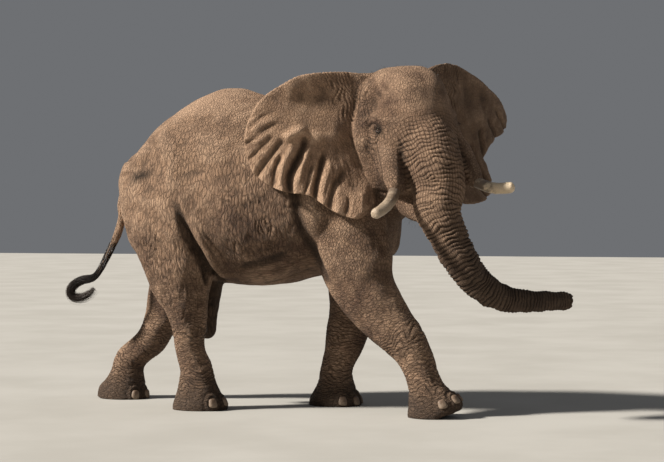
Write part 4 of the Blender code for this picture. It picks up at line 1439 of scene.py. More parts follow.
    def limb_folds(self, points: Array, relief: Relief) -> Array:
        """Rings round the ankles and knees, the pads of the feet and the skin round the toenails.

        Args:
            points: the skin's points.
            relief: takes the rings.

        Returns:
            How far each point is of a leg.
        """
        weight = np.zeros(len(points))
        low = points[:, 2] < 1.5
        for number, leg in enumerate(LEGS):
            tube = leg.tube()
            place = tube.locate(points[low])
            here = points[low]
            mine = ramp(place.share, 1.5, 1.3) * ramp(here[:, 2], 1.42, 1.0)
            total = np.linalg.norm(np.diff(tube.stations[:, :3], axis=0), axis=1).sum()
            left = total - place.along
            wander = 0.5 * waves(here, 0.25, 41 + number) + 0.25 * waves(here, 0.09, 51 + number)
            ankle = bell(left - 0.36, 0.16)
            knee = bell(left - 0.78, 0.14)
            depth = 0.0015 + 0.0045 * ankle + 0.0040 * knee
            relief_here = -depth * groove(left / 0.040 + wander, 0.22) * mine
            relief_here += 0.010 * bell(left - 0.10, 0.07) * mine
            for frame in leg.nail_frames():
                middle = np.array(frame.translation)
                gap = np.linalg.norm((here - middle) * (1, 1, 0.8), axis=1)
                cuticle = 0.006 * bell(gap - 0.060, 0.015)
                cleft = 0.006 * bell(gap - 0.088, 0.014)
                relief_here += (cuticle - cleft - 0.004 * bell(gap, 0.040)) * mine
            height = np.zeros(len(points))
            height[low] = relief_here
            relief.add(height)
            run, ringed = np.zeros(len(points)), np.zeros(len(points))
            run[low], ringed[low] = left / 0.040 + wander, mine * np.clip(0.25 + ankle + knee, 0, 1)
            relief.run(run, ringed)
            weight[low] = np.maximum(weight[low], mine)
        return weight

    def ear_relief(self, points: Array) -> tuple[Array, Array, Array, dict]:
        """Moves the ears' sheets: the fan of folds below, the crest and the hollow above.

        Both faces of an ear move together along the sheet's normal, so its thickness stays.

        Args:
            points: the skin's points.

        Returns:
            The shift of each point, the depth of its valley, the ears' share in it, and their places.
        """
        shift = np.zeros_like(points)
        valley, weight = np.zeros(len(points)), np.zeros(len(points))
        places = {}
        for side, folds in ((Side.RIGHT, EAR_FOLDS_RIGHT), (Side.LEFT, EAR_FOLDS_LEFT)):
            sheet = self.ears[side]
            place = sheet.locate(points)
            flat = np.stack([place.out, place.height], -1)
            raised, deep = fold_sum(flat, folds)
            away = flat - np.array((0.45, 0.40))
            reach = np.linalg.norm(away, axis=1)
            fan = np.arctan2(-away[:, 0], -away[:, 1])
            soft = 1.0 if side is Side.RIGHT else 0.4
            ripple = np.sin(fan * 2 * math.pi * 9.0 + 1.4 * waves(flat, 0.30, 61) + 0.8)
            fine = np.sin(fan * 2 * math.pi * 23.0 + 1.6 * waves(flat, 0.20, 62))
            lower = ramp(fan, 2.2, 1.5) * ramp(np.abs(fan), 2.4, 1.8)
            raised += 0.0026 * soft * ripple * ramp(reach, 0.35, 0.85) * lower
            raised += 0.0014 * soft * fine * ramp(reach, 0.40, 0.80) * lower
            raised += 0.004 * waves(flat, 0.42, 63) + 0.0012 * waves(flat, 0.13, 64)
            root = ramp(place.height, 0.06, 0.24) * ramp(place.out, 0.40, 0.22)
            pleat = groove(place.out / 0.040 - 0.6 * place.height + 0.35 * waves(flat, 0.22, 65), 0.24)
            raised -= 0.0075 * root * pleat * (0.8 + 0.4 * waves(flat, 0.15, 66))
            deep += 0.0045 * root * pleat
            turn = sheet.start + sheet.rate * place.out
            front = np.stack([np.cos(turn), side.value * np.sin(turn), np.zeros(len(points))], -1)
            shift += (raised * place.weight)[:, None] * (front @ head_turn().T)
            valley += deep * place.weight
            weight = np.maximum(weight, place.weight)
            places[side] = place
        return shift, valley, weight, places

    def tip_shift(self, points: Array) -> Array:
        """The trunk's tip: two fingers and a cup between them with the nostrils.

        Args:
            points: the skin's points.

        Returns:
            The shift of each.
        """
        end = np.array(TRUNK[-1][:3])
        ahead = unit(np.array((0.24, 0.15, 0.0)))
        across = unit(np.cross((0.0, 0.0, 1.0), ahead))
        offset = points - end
        along, side, up = offset @ ahead, offset @ across, offset[:, 2]
        near = ramp(along, -0.085, -0.02) * (np.linalg.norm(offset, axis=1) < 0.2)
        push = sum(
            depth * np.exp(-(((side - aside) / wide) ** 2) - (((up - above) / high) ** 2))
            for depth, aside, wide, above, high in TIP_FORMS
        )
        return (push * near)[:, None] * ahead

    def set_eyes(self, points: Array, relief: Relief) -> Array:
        """Wraps the lids round the eyeballs and sinks the skin behind the openings.

        Args:
            points: the skin's points.
            relief: takes the creases of the lids.

        Returns:
            The moved points.
        """
        moved = points.copy()
        for eye in self.eyes.values():
            local = eye.local(points)
            across = np.hypot(local[:, 0], local[:, 1])
            near = (across < 0.09) & (local[:, 2] > -0.06)
            here, flat = local[near], across[near]
            beyond = eye.beyond(here)
            ripple = groove(beyond / 0.0085 + 0.3 * waves(here, 0.03, 71), 0.20)
            ringed = ramp(beyond, 0.004, 0.010) * ramp(beyond, 0.052, 0.026)
            lid = 0.0012 + (eye.lid - 0.0012) * ramp(beyond, 0.0, 0.005)
            lid = np.where(beyond < 0, -0.010 * ramp(-beyond, 0.0, 0.0025), lid)
            ball = np.sqrt(np.clip((eye.radius + lid) ** 2 - flat**2, 0, None))
            base = here[:, 2] - 0.020 * bell(flat, 0.045)
            soft = 0.006
            mixed = soft * np.logaddexp(base / soft, (ball - 0.001) / soft)
            lids = ramp(flat, 0.034, 0.024)
            depth = ball * lids + mixed * (1 - lids)
            depth = np.where(beyond < 0.001, ball, depth) - 0.0019 * ripple * ringed
            # Painted shade at the rim of the opening and in the wrinkles of the lids, noted as crease.
            relief.crease[near] += 0.0035 * ripple * ringed + 0.010 * bell(beyond, 0.004)
            fade = ramp(flat, 0.088, 0.060)
            change = (depth - here[:, 2]) * fade
            moved[near] += change[:, None] * eye.axes()[2]
        return moved

    def level_soles(self, mesh: Mesh) -> None:
        """Cuts the feet off at the floor and closes the soles.

        Args:
            mesh: the skin.
        """
        with edited(mesh) as form:
            everything = form.verts[:] + form.edges[:] + form.faces[:]
            cut = bmesh.ops.bisect_plane(
                form, geom=everything, plane_co=(0, 0, 0), plane_no=(0, 0, 1), clear_inner=True
            )
            edges = [part for part in cut["geom_cut"] if isinstance(part, bmesh.types.BMEdge)]
            closed = bmesh.ops.holes_fill(form, edges=edges)
            bmesh.ops.triangulate(form, faces=closed["faces"])

    def sculpted(self, mesh: Mesh) -> None:
        """Gives the joined forms their anatomy and folds, and notes where each point lies.

        Args:
            mesh: the joined forms.
        """
        points = mesh_points(mesh)
        set_points(mesh, points + mesh_normals(mesh) * self.head_shape(points, mesh_normals(mesh))[:, None])
        for eye in self.eyes.values():
            for reach in EYE_SPLITS:
                self.refined(mesh, eye.centre(), reach)
        self.refined(mesh, np.array(TRUNK[-2][:3]), TIP_FINE_REACH)
        points, normals = mesh_points(mesh), mesh_normals(mesh)
        relief = Relief.flat(len(points))
        shift, valley, ear, ear_places = self.ear_relief(points)
        self.head_folds(points, relief, ear)
        trunk, along, cross, crossed = self.trunk_folds(points, relief, ear)
        head = to_head(points)
        of_head = head_share(head)
        flesh = (1 - ear) * (1 - of_head) * (1 - trunk)
        self.body_folds(points, normals, relief, flesh)
        limb = self.limb_folds(points, relief)
        moved = points + normals * relief.height[:, None] + shift + self.tip_shift(points)
        set_points(mesh, self.set_eyes(moved, relief))
        # crease: where the hide is painted darker in the folds' valleys, painted shade with some dirt.
        set_attribute(mesh, "crease", np.clip((relief.crease + 0.30 * valley) / 0.020, 0, 1.5))
        set_attribute(mesh, "trunk", trunk)
        set_attribute(mesh, "run", relief.phase)
        set_attribute(mesh, "run_share", relief.first - relief.second)
        set_attribute(mesh, "cross", cross)
        set_attribute(mesh, "cross_share", crossed)
        set_attribute(mesh, "limb", limb)
        # The stain share: real stain on the trunk's end and the feet, painted shade on the far ear's front
        # and the sheath.
        stain = self.limb_stain * trunk * ramp(along, 0.8, 1.9)
        stain = np.maximum(stain, self.limb_stain * limb * ramp(points[:, 2], 0.45, 0.08))
        # Painted shade on the front face of the far ear.
        far = ear_places[Side.LEFT]
        stain = np.maximum(stain, self.far_ear_painted_shade * far.weight * ramp(far.lift, -0.01, 0.01))
        # Painted shade on the sheath between the hind legs.
        sheath = ramp(points[:, 2], 1.40, 1.15) * ramp(np.abs(points[:, 0] + 1.27), 0.20, 0.14)
        sheath = self.sheath_painted_shade * sheath * (np.abs(points[:, 1]) < 0.16)
        set_attribute(mesh, "stain", np.maximum(stain, sheath))
        set_attribute(mesh, "ear", ear)
        set_attribute(mesh, "face", of_head)

    def thinned(self, mesh: Mesh, name: str) -> Thing:
        """The finished skin in its number of triangles, kept finest at the eyes.

        Args:
            mesh: the sculpted skin.
            name: of the piece.

        Returns:
            The piece.
        """
        thing = placed(name, mesh)
        points = mesh_points(mesh)
        fine = thing.vertex_groups.new(name="fine")
        nearest = np.full(len(points), np.inf)
        for eye in self.eyes.values():
            nearest = np.minimum(nearest, np.linalg.norm(points - eye.centre(), axis=1))
        fine.add(np.flatnonzero(nearest < EYE_FINE_REACH).tolist(), 1.0, "REPLACE")
        triangles = len(mesh.loops) - 2 * len(mesh.polygons)
        if triangles > self.triangles:
            thin = thing.modifiers.new("thin", "DECIMATE")
            thin.ratio = self.triangles / triangles
            thin.use_collapse_triangulate = True
            thin.vertex_group = "fine"
            thin.invert_vertex_group = True
            thin.vertex_group_factor = 1.0
            settled(thing)
        thing.vertex_groups.clear()
        thing.data.name = name
        thing.data.shade_smooth()
        return thing

    def shade(self, mesh: Mesh) -> None:
        """Notes dust mixed with painted light, hollows and eye sockets for painted shade, and the direction
        of the wrinkles on the finished mesh.

        Args:
            mesh: the finished skin.
        """
        points, normals, edges = mesh_points(mesh), mesh_normals(mesh), mesh_edges(mesh)
        # hollow: how far each point lies below its neighbours; the hide is painted darker there as painted
        # shade, and paler on the ridges where it is worn.
        hollow = np.zeros(len(points))
        for passes, share in ((2, 0.5), (14, 0.5)):
            eased = relaxed(points, edges, np.full(len(points), 0.5), passes)
            lift = ((eased - points) * normals).sum(axis=1)
            hollow += share * lift / (0.0022 if passes == 2 else 0.006)
        set_attribute(mesh, "hollow", np.clip(hollow, -1, 1.5))
        x, _, z = points.T
        # The dust share is real dust and painted light in one: upward faces, the back, hip, rump, shoulder,
        # cheeks and the ears' crests are painted paler as if lit, the underside of the belly paler to lift
        # its shade, and the flank darker as painted shade.
        dust = 0.36 + 0.50 * np.maximum(normals[:, 2], -0.35)
        dust += 0.30 * ramp(z, 1.5, 2.7) * ramp(x, 0.3, -0.6)
        dust += 0.46 * ramp(x, -1.0, -1.6) * ramp(z, 1.5, 2.0) + 0.10 * waves(points, 0.5, 81)
        dust += 0.25 * ramp(z, 1.45, 1.20) * ramp(x, -1.1, -0.9) * ramp(x, 0.1, -0.1)
        dust -= 0.34 * ramp(x, -1.1, -0.8) * ramp(x, 0.0, -0.15) * ramp(z, 2.4, 2.0)
        dust += 0.22 * ramp(x, -0.10, 0.05) * ramp(z, 1.45, 1.65) * ramp(z, 2.3, 2.1)
        head = to_head(points)
        face = head_share(head)
        dust += 0.26 * face * ramp(head[:, 2], 0.15, -0.10)
        for sheet in self.ears.values():
            place = sheet.locate(points)
            flat = np.stack([place.out, place.height], -1)
            crest = bump(flat, EAR_CREST, (0.16, 0.07))
            dust += 0.9 * crest * place.weight
        set_attribute(mesh, "dust", np.clip(dust, 0, 1))
        thigh = ramp(x, -1.05, -1.20) * ramp(x, -1.95, -1.70) * ramp(z, 1.85, 1.45)
        flank = ramp(x, -1.05, -0.80) * ramp(x, 0.0, -0.2) * ramp(z, 2.7, 2.3)
        rump = 0.85 * ramp(x, -0.6, -1.1) * ramp(z, 2.95, 2.6)
        upright = np.clip(np.maximum(flank + thigh, rump), 0, 1)
        set_attribute(mesh, "upright", upright * ramp(z, 0.5, 0.9))
        roll = bell(z - 1.33 - 0.28 * (x + 0.45), 0.14) * ramp(x, -0.95, -0.7)
        set_attribute(mesh, "lengthwise", roll * ramp(x, 0.10, 0.0) * ramp(z, 1.0, 1.15))
        # socket: a dark patch round each eye, painted shade of the socket and the upper lid.
        socket = np.zeros(len(points))
        for eye in self.eyes.values():
            local = eye.local(points)
            gap = np.hypot(local[:, 0] / 0.058, (local[:, 1] - 0.006) / 0.056)
            socket = np.maximum(socket, np.exp(-(gap**3)))
        set_attribute(mesh, "socket", socket)
        back = ramp(z, 2.75, 3.0) * ramp(x, 0.2, 0.0)
        brow = ramp(head[:, 2], 0.05, 0.30) * ramp(head[:, 0], 0.0, 0.25) * (z > 2.5)
        set_attribute(mesh, "smooth_skin", np.maximum(back, brow))

    def build(self) -> Thing:
        """The skin, from joined forms to its finished mesh and attributes.

        Returns:
            The piece, not yet dressed.
        """
        mesh = self.joined()
        log.info("joined forms: %d points", len(mesh.vertices))
        self.sculpted(mesh)
        self.level_soles(mesh)
        thing = self.thinned(mesh, "skin")
        self.shade(thing.data)
        return thing


# --- Finishes ---

Colour = tuple[float, float, float]
Socket = bpy.types.NodeSocket


class Graph:
    """A material's nodes, laid down by short calls. Numbers go onto sockets, sockets are linked."""

    def __init__(self, name: str) -> None:
        """Starts a material with nothing but its shader and output.

        Args:
            name: of the material.
        """
        self.material = bpy.data.materials.new(name)
        self.material.use_nodes = True
        self.tree = self.material.node_tree
        self.shader = self.tree.nodes["Principled BSDF"]
        self.place = self.node("ShaderNodeTexCoord").outputs["Object"]

    def node(self, kind: str, **settings: object) -> bpy.types.Node:
        """A new node with its settings.

        Args:
            kind: the node's type.
            settings: its properties by name.

        Returns:
            The node.
        """
        node = self.tree.nodes.new(kind)
        for key, value in settings.items():
            setattr(node, key, value)
        return node

    def feed(self, socket: Socket, value: object) -> None:
        """Links a socket, or writes a number or colour onto it.

        Args:
            socket: where it goes.
            value: a socket, a number or a colour.
        """
        if isinstance(value, bpy.types.NodeSocket):
            self.tree.links.new(value, socket)
        elif isinstance(value, tuple) and len(value) == 3 and socket.type == "RGBA":
            socket.default_value = (*value, 1.0)
        else:
            socket.default_value = value

    def math(self, operation: str, *values: object, clamp: bool = False) -> Socket:
        """A sum, product or the like of up to three values.

        Args:
            operation: what is done.
            values: sockets or numbers.
            clamp: whether to hold it to 0 to 1.

        Returns:
            The result.
        """
        node = self.node("ShaderNodeMath", operation=operation, use_clamp=clamp)
        for socket, value in zip(node.inputs, values):
            self.feed(socket, value)
        return node.outputs[0]

    def attribute(self, name: str) -> Socket:
        """The number that the mesh holds under a name."""
        return self.node("ShaderNodeAttribute", attribute_name=name).outputs["Fac"]

    def colour(self, first: object, second: object, share: object, mode: str = "MIX") -> Socket:
        """Two colours mixed.

        Args:
            first: a colour.
            second: a colour.
            share: how strongly the second counts, 0 to 1.
            mode: how they blend.

        Returns:
            The colour.
        """
        node = self.node("ShaderNodeMix", data_type="RGBA", blend_type=mode)
        for socket, value in zip((node.inputs[0], node.inputs[6], node.inputs[7]), (share, first, second)):
            self.feed(socket, value)
        return node.outputs[2]

    def blend(self, first: object, second: object, share: object) -> Socket:
        """Two numbers mixed.

        Args:
            first: a number.
            second: a number.
            share: how strongly the second counts, 0 to 1.

        Returns:
            The number.
        """
        node = self.node("ShaderNodeMix", data_type="FLOAT")
        for socket, value in zip((node.inputs[0], node.inputs[2], node.inputs[3]), (share, first, second)):
            self.feed(socket, value)
        return node.outputs[0]

    def span(self, value: object, low: float, high: float, start: float = 0.0, end: float = 1.0) -> Socket:
        """A number's stretch from low to high, eased onto start to end and held there outside it.

        Args:
            value: what is read.
            low: where it starts.
            high: where it ends.
            start: result at low.
            end: result at high.

        Returns:
            The result.
        """
        node = self.node("ShaderNodeMapRange", interpolation_type="SMOOTHSTEP")
        for socket, part in zip(node.inputs, (value, low, high, start, end)):
            self.feed(socket, part)
        return node.outputs[0]

    def stretched(self, coordinates: Socket, scale: Point) -> Socket:
        """Coordinates multiplied on each axis.

        Args:
            coordinates: the places.
            scale: factor on each axis.

        Returns:
            The stretched places.
        """
        node = self.node("ShaderNodeVectorMath", operation="MULTIPLY")
        self.feed(node.inputs[0], coordinates)
        node.inputs[1].default_value = scale
        return node.outputs[0]

    def noise(self, coordinates: Socket, scale: float, detail: float = 3.0, rough: float = 0.55) -> Socket:
        """Soft noise of about 0.3 to 0.7.

        Args:
            coordinates: where it is read.
            scale: waves to a metre.
            detail: finer layers.
            rough: weight of the finer layers.

        Returns:
            The noise.
        """
        node = self.node("ShaderNodeTexNoise")
        self.feed(node.inputs["Vector"], coordinates)
        for key, value in (("Scale", scale), ("Detail", detail), ("Roughness", rough)):
            node.inputs[key].default_value = value
        return node.outputs["Fac"]

    def warped(self, coordinates: Socket, scale: float, reach: float) -> Socket:
        """Coordinates pushed about by noise, by up to about reach.

        Args:
            coordinates: the places.
            scale: of the noise.
            reach: of the push.

        Returns:
            The pushed places.
        """
        node = self.node("ShaderNodeTexNoise")
        self.feed(node.inputs["Vector"], coordinates)
        node.inputs["Scale"].default_value = scale
        node.inputs["Detail"].default_value = 1.0
        push = self.node("ShaderNodeVectorMath", operation="MULTIPLY_ADD")
        self.feed(push.inputs[0], node.outputs["Color"])
        push.inputs[1].default_value = (2 * reach,) * 3
        self.feed(push.inputs[2], coordinates)
        return push.outputs[0]

    def cracks(self, coordinates: Socket, scale: float, width: float = 0.16) -> Socket:
        """A net of cracks round irregular cells: 0 in the crack, 1 on the cell.

        Args:
            coordinates: where it is read.
            scale: cells to a metre.
            width: distance from the edge where the cell begins, in cells.

        Returns:
            The net.
        """
        node = self.node("ShaderNodeTexVoronoi", feature="DISTANCE_TO_EDGE")
        self.feed(node.inputs["Vector"], coordinates)
        node.inputs["Scale"].default_value = scale
        return self.span(node.outputs["Distance"], 0.0, width)

    def line(self, name: str) -> Socket:
        """The lines of a run of wrinkles: 0 where its phase is whole, 1 beside it or where its share is 0."""
        gap = self.math("PINGPONG", self.attribute(name), 0.5)
        return self.blend(1.0, self.span(gap, 0.01, 0.15), self.attribute(name + "_share"))

    def raised(self, height: Socket, distance: float) -> None:
        """Gives the shader a bump of the height.

        Args:
            height: 0 to about 1.
            distance: metres that a height of 1 stands for.
        """
        node = self.node("ShaderNodeBump")
        node.inputs["Strength"].default_value = 1.0
        node.inputs["Distance"].default_value = distance
        self.feed(node.inputs["Height"], height)
        self.feed(self.shader.inputs["Normal"], node.outputs[0])

    def finish(self, **values: object) -> bpy.types.Material:
        """Sets the shader's sockets and hands the material over.

        Args:
            values: numbers, colours or sockets by the input's name, with _ for spaces.

        Returns:
            The material.
        """
        for key, value in values.items():
            self.feed(self.shader.inputs[key.replace("_", " ")], value)
        return self.material


@dataclass(frozen=True)
class HideFinish:
    """Elephant hide: a net of cracks that runs with the body, pale dust with painted light on top, painted
    shade in the folds, hollows and eye sockets.
    """

    bare: Colour = (0.116, 0.065, 0.041)
    dusty_and_lit: Colour = (0.400, 0.252, 0.160)
    # deep: the dark of the cracks and wrinkle lines, and of the painted shade in folds, hollows and eye
    # sockets.
    deep: Colour = (0.026, 0.017, 0.011)
    stained: Colour = (0.040, 0.027, 0.019)
    worn: Colour = (0.520, 0.345, 0.230)

    def relief(self, graph: Graph) -> tuple[Socket, Socket, Socket]:
        """The nets of cracks and the wrinkles' lines.

        Args:
            graph: the hide's nodes.

        Returns:
            The height of both together, then the nets and the lines as 0 in a crack and 1 beside it.
        """
        bent = graph.warped(graph.place, 4.0, 0.05)
        net = graph.cracks(graph.stretched(bent, (1.0, 0.9, 0.66)), 40.0, 0.24)
        for name, scale, stretch in (
            ("upright", 31.0, (1.0, 0.8, 0.32)),
            ("lengthwise", 30.0, (0.22, 0.8, 1.0)),
            ("limb", 35.0, (0.45, 0.45, 1.2)),
        ):
            run = graph.cracks(graph.stretched(bent, stretch), scale, 0.22)
            net = graph.blend(net, run, graph.attribute(name))
        net = graph.blend(net, 1.0, graph.math("MULTIPLY", graph.attribute("trunk"), 0.55))
        fine = graph.cracks(graph.warped(graph.place, 14.0, 0.012), 92.0, 0.24)
        lines = graph.line("run")
        lines = graph.math("MINIMUM", lines, graph.line("cross"))
        grain = graph.noise(graph.place, 150.0, 4.0, 0.65)
        lumps = graph.noise(graph.place, 26.0, 3.0)
        height = graph.math("MULTIPLY_ADD", fine, 0.34, graph.math("MULTIPLY", net, 0.60))
        height = graph.math("MULTIPLY_ADD", lines, 0.80, height)
        height = graph.math("MULTIPLY_ADD", grain, 0.30, height)
        height = graph.math("MULTIPLY_ADD", lumps, 0.7, height)
        return height, graph.math("MULTIPLY_ADD", fine, 0.3, graph.math("MULTIPLY", net, 0.7)), lines

    def material(self, name: str) -> bpy.types.Material:
        """The hide's material.

        Args:
            name: of the material.

        Returns:
            The material.
        """
        graph = Graph(name)
        height, cells, lines = self.relief(graph)
        calm = graph.math("MULTIPLY", graph.attribute("smooth_skin"), 0.35)
        calm = graph.math("MAXIMUM", calm, graph.math("MULTIPLY", graph.attribute("ear"), 0.55))
        calm = graph.math("SUBTRACT", 1.0, calm)
        patches = graph.noise(graph.place, 1.7, 4.0, 0.6)
        blotches = graph.noise(graph.place, 8.0, 5.0, 0.65)
        # Paler by the dust share, which is real dust and painted light together, with fixed offsets for each
        # region.
        dust = graph.span(patches, 0.30, 0.70, 0.0, 0.50)
        dust = graph.math("MULTIPLY_ADD", graph.attribute("dust"), 0.55, dust)
        dust = graph.math("ADD", graph.span(blotches, 0.3, 0.7, -0.16, 0.16), dust, clamp=True)
        for region, share in (("ear", 0.16), ("trunk", 0.06), ("limb", -0.06), ("face", -0.16)):
            dust = graph.math("MULTIPLY_ADD", graph.attribute(region), share, dust, clamp=True)
        colour = graph.colour(self.bare, self.dusty_and_lit, dust)
        edge = graph.span(graph.attribute("hollow"), -0.12, -0.8, 0.0, 0.75)
        colour = graph.colour(colour, self.worn, graph.math("MULTIPLY", edge, dust))
        crack = graph.math("MULTIPLY", graph.span(cells, 0.80, 0.12, 0.0, 0.50), calm)
        line = graph.span(lines, 0.9, 0.1, 0.0, 0.24)
        # Darker in the folds' valleys: painted shade with some dirt.
        fold = graph.span(graph.attribute("crease"), 0.02, 1.2, 0.0, 0.55)
        # Darker in the hollows: painted shade.
        hollow = graph.span(graph.attribute("hollow"), 0.05, 1.1, 0.0, 0.50)
        # Each share darkens towards deep: the cracks and wrinkle lines as the hide's own dark lines, the
        # folds, hollows and eye sockets as painted shade.
        for share in (crack, line, fold, hollow, graph.math("MULTIPLY", graph.attribute("socket"), 0.95)):
            colour = graph.colour(colour, self.deep, share)
        # The stained colour: real stain on the trunk's end and the feet, painted shade on the far ear's front
        # and the sheath.
        colour = graph.colour(colour, self.stained, graph.attribute("stain"))
        flecks = graph.noise(graph.place, 60.0, 4.0, 0.7)
        shade = graph.span(flecks, 0.25, 0.75, 0.86, 1.12)
        tone = graph.node("ShaderNodeCombineColor")
        for socket in tone.inputs[:3]:
            graph.feed(socket, shade)
        colour = graph.colour(colour, tone.outputs[0], 1.0, "MULTIPLY")
        graph.raised(graph.math("MULTIPLY", height, calm), 0.0170)
        rough = graph.span(blotches, 0.3, 0.7, 0.78, 0.94)
        return graph.finish(Base_Color=colour, Roughness=rough, Specular_IOR_Level=0.28)


@dataclass(frozen=True)
class IvoryFinish:
    """A tusk: cream, stained towards its root, with lengthwise grain and dark scratches."""

    ivory: Colour
    stain: Colour
    stained: tuple[float, float]  # shares of the length where the stain ends and starts
    dirt: float

    def material(self, name: str) -> bpy.types.Material:
        """The tusk's material.

        Args:
            name: of the material.

        Returns:
            The material.
        """
        graph = Graph(name)
        run = graph.node("ShaderNodeCombineXYZ")
        graph.feed(run.inputs[0], graph.attribute("tusk_along"))
        graph.feed(run.inputs[1], graph.math("MULTIPLY", graph.attribute("tusk_turn"), 2.4))
        grain = graph.noise(graph.stretched(run.outputs[0], (1.2, 8.0, 1.0)), 5.0, 5.0, 0.65)
        bent = graph.stretched(graph.warped(run.outputs[0], 3.0, 0.12), (1.0, 3.6, 1.0))
        scratch = graph.cracks(bent, 4.0, 0.035)
        specks = graph.noise(graph.place, 75.0, 4.0, 0.7)
        patches = graph.noise(graph.place, 14.0, 4.0, 0.6)
        edge = graph.math("ADD", graph.span(patches, 0.3, 0.7, -0.12, 0.12), graph.attribute("tusk_along"))
        colour = graph.colour(self.stain, self.ivory, graph.span(edge, *self.stained))
        colour = graph.colour(colour, self.stain, graph.span(grain, 0.52, 0.70, 0.0, 0.45))
        dark = graph.math("MULTIPLY", graph.span(specks, 0.56, 0.68), self.dirt)
        colour = graph.colour(colour, (0.045, 0.034, 0.026), dark)
        crack = graph.math("MULTIPLY", graph.math("SUBTRACT", 1.0, scratch), 0.35)
        colour = graph.colour(colour, (0.06, 0.042, 0.03), crack)
        graph.raised(graph.math("MULTIPLY_ADD", scratch, 0.5, grain), 0.0022)
        rough = graph.span(patches, 0.3, 0.7, 0.34, 0.58)
        return graph.finish(Base_Color=colour, Roughness=rough, Specular_IOR_Level=0.45)


@dataclass(frozen=True)
class HornFinish:
    """Toenail horn: with dust, ridges down it and a paler lower edge."""

    horn: Colour = (0.215, 0.155, 0.108)
    dust: Colour = (0.150, 0.098, 0.064)

    def material(self, name: str) -> bpy.types.Material:
        """The toenails' material.

        Args:
            name: of the material.

        Returns:
            The material.
        """
        graph = Graph(name)
        ridges = graph.noise(graph.stretched(graph.place, (1.0, 1.0, 0.12)), 130.0, 3.0)
        patches = graph.noise(graph.place, 26.0, 4.0, 0.65)
        share = graph.math("ADD", graph.attribute("nail_rise"), graph.span(patches, 0.3, 0.7, -0.30, 0.30))
        colour = graph.colour(self.horn, self.dust, graph.span(share, 0.25, 0.85))
        colour = graph.colour(colour, (0.07, 0.048, 0.034), graph.span(ridges, 0.55, 0.75, 0.0, 0.35))
        graph.raised(graph.math("ADD", ridges, patches), 0.0035)
        return graph.finish(Base_Color=colour, Roughness=graph.span(patches, 0.3, 0.7, 0.48, 0.74))


@dataclass(frozen=True)
class EyeFinish:
    """An eyeball: black pupil, amber-brown iris with fibres, dark rim and brownish white."""

    pupil: float = 0.22  # radians from the axis
    iris: float = 0.56
    brown: Colour = (0.115, 0.050, 0.018)
    ring: Colour = (0.020, 0.011, 0.008)
    white: Colour = (0.130, 0.088, 0.070)

    def material(self, name: str) -> bpy.types.Material:
        """The eyes' material.

        Args:
            name: of the material.

        Returns:
            The material.
        """
        graph = Graph(name)
        gaze = graph.attribute("gaze")
        fibres = graph.noise(graph.place, 620.0, 3.0, 0.7)
        iris = graph.colour(self.brown, self.ring, graph.span(fibres, 0.40, 0.70))
        iris = graph.colour(iris, self.ring, graph.span(gaze, self.iris - 0.14, self.iris))
        colour = graph.colour(iris, self.white, graph.span(gaze, self.iris, self.iris + 0.10))
        clear = graph.span(gaze, self.pupil - 0.02, self.pupil + 0.02)
        colour = graph.colour((0.004, 0.003, 0.003), colour, clear)
        return graph.finish(Base_Color=colour, Roughness=0.10, Coat_Weight=1.0, Coat_Roughness=0.02)


@dataclass(frozen=True)
class LidFinish:
    """The bare margin of the lids: dark, damp and wrinkled."""

    skin: Colour = (0.030, 0.020, 0.016)
    pale: Colour = (0.085, 0.055, 0.042)

    def material(self, name: str) -> bpy.types.Material:
        """The lid margins' material.

        Args:
            name: of the material.

        Returns:
            The material.
        """
        graph = Graph(name)
        spots = graph.noise(graph.place, 260.0, 3.0)
        graph.raised(spots, 0.0012)
        colour = graph.colour(self.skin, self.pale, graph.span(spots, 0.40, 0.75))
        return graph.finish(Base_Color=colour, Roughness=graph.span(spots, 0.3, 0.7, 0.30, 0.5))


@dataclass(frozen=True)
class HairFinish:
    """Coarse hair: nearly black, browner towards some tips."""

    root: Colour = (0.014, 0.009, 0.007)
    tip: Colour = (0.060, 0.034, 0.020)

    def material(self, name: str) -> bpy.types.Material:
        """The hair's material, with a tone for each strand.

        Args:
            name: of the material.

        Returns:
            The material.
        """
        graph = Graph(name)
        tone = graph.attribute("strand_tone")
        share = graph.math("MULTIPLY", tone, graph.span(graph.attribute("strand_run"), 0.2, 1.0))
        colour = graph.colour(self.root, self.tip, share)
        return graph.finish(Base_Color=colour, Roughness=graph.span(tone, 0.0, 1.0, 0.38, 0.6))


def dressed(thing: Thing, material: bpy.types.Material, slot: str, nodes: tuple[str, ...] = ()) -> None:
    """Gives a piece its material and slot, sets it on the model and hides the solids it stands for.

    Args:
        thing: the piece.
        material: its finish.
        slot: the kind of material.
        nodes: the solids that it stands for.
    """
    thing.data.materials.clear()
    thing.data.materials.append(material)
    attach(thing, "root")
    if nodes:
        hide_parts(*nodes)
    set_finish(thing, slot)
    log.info("%s: %d faces", thing.name, len(thing.data.polygons))


# --- Eyes, tusks, toenails and hair ---


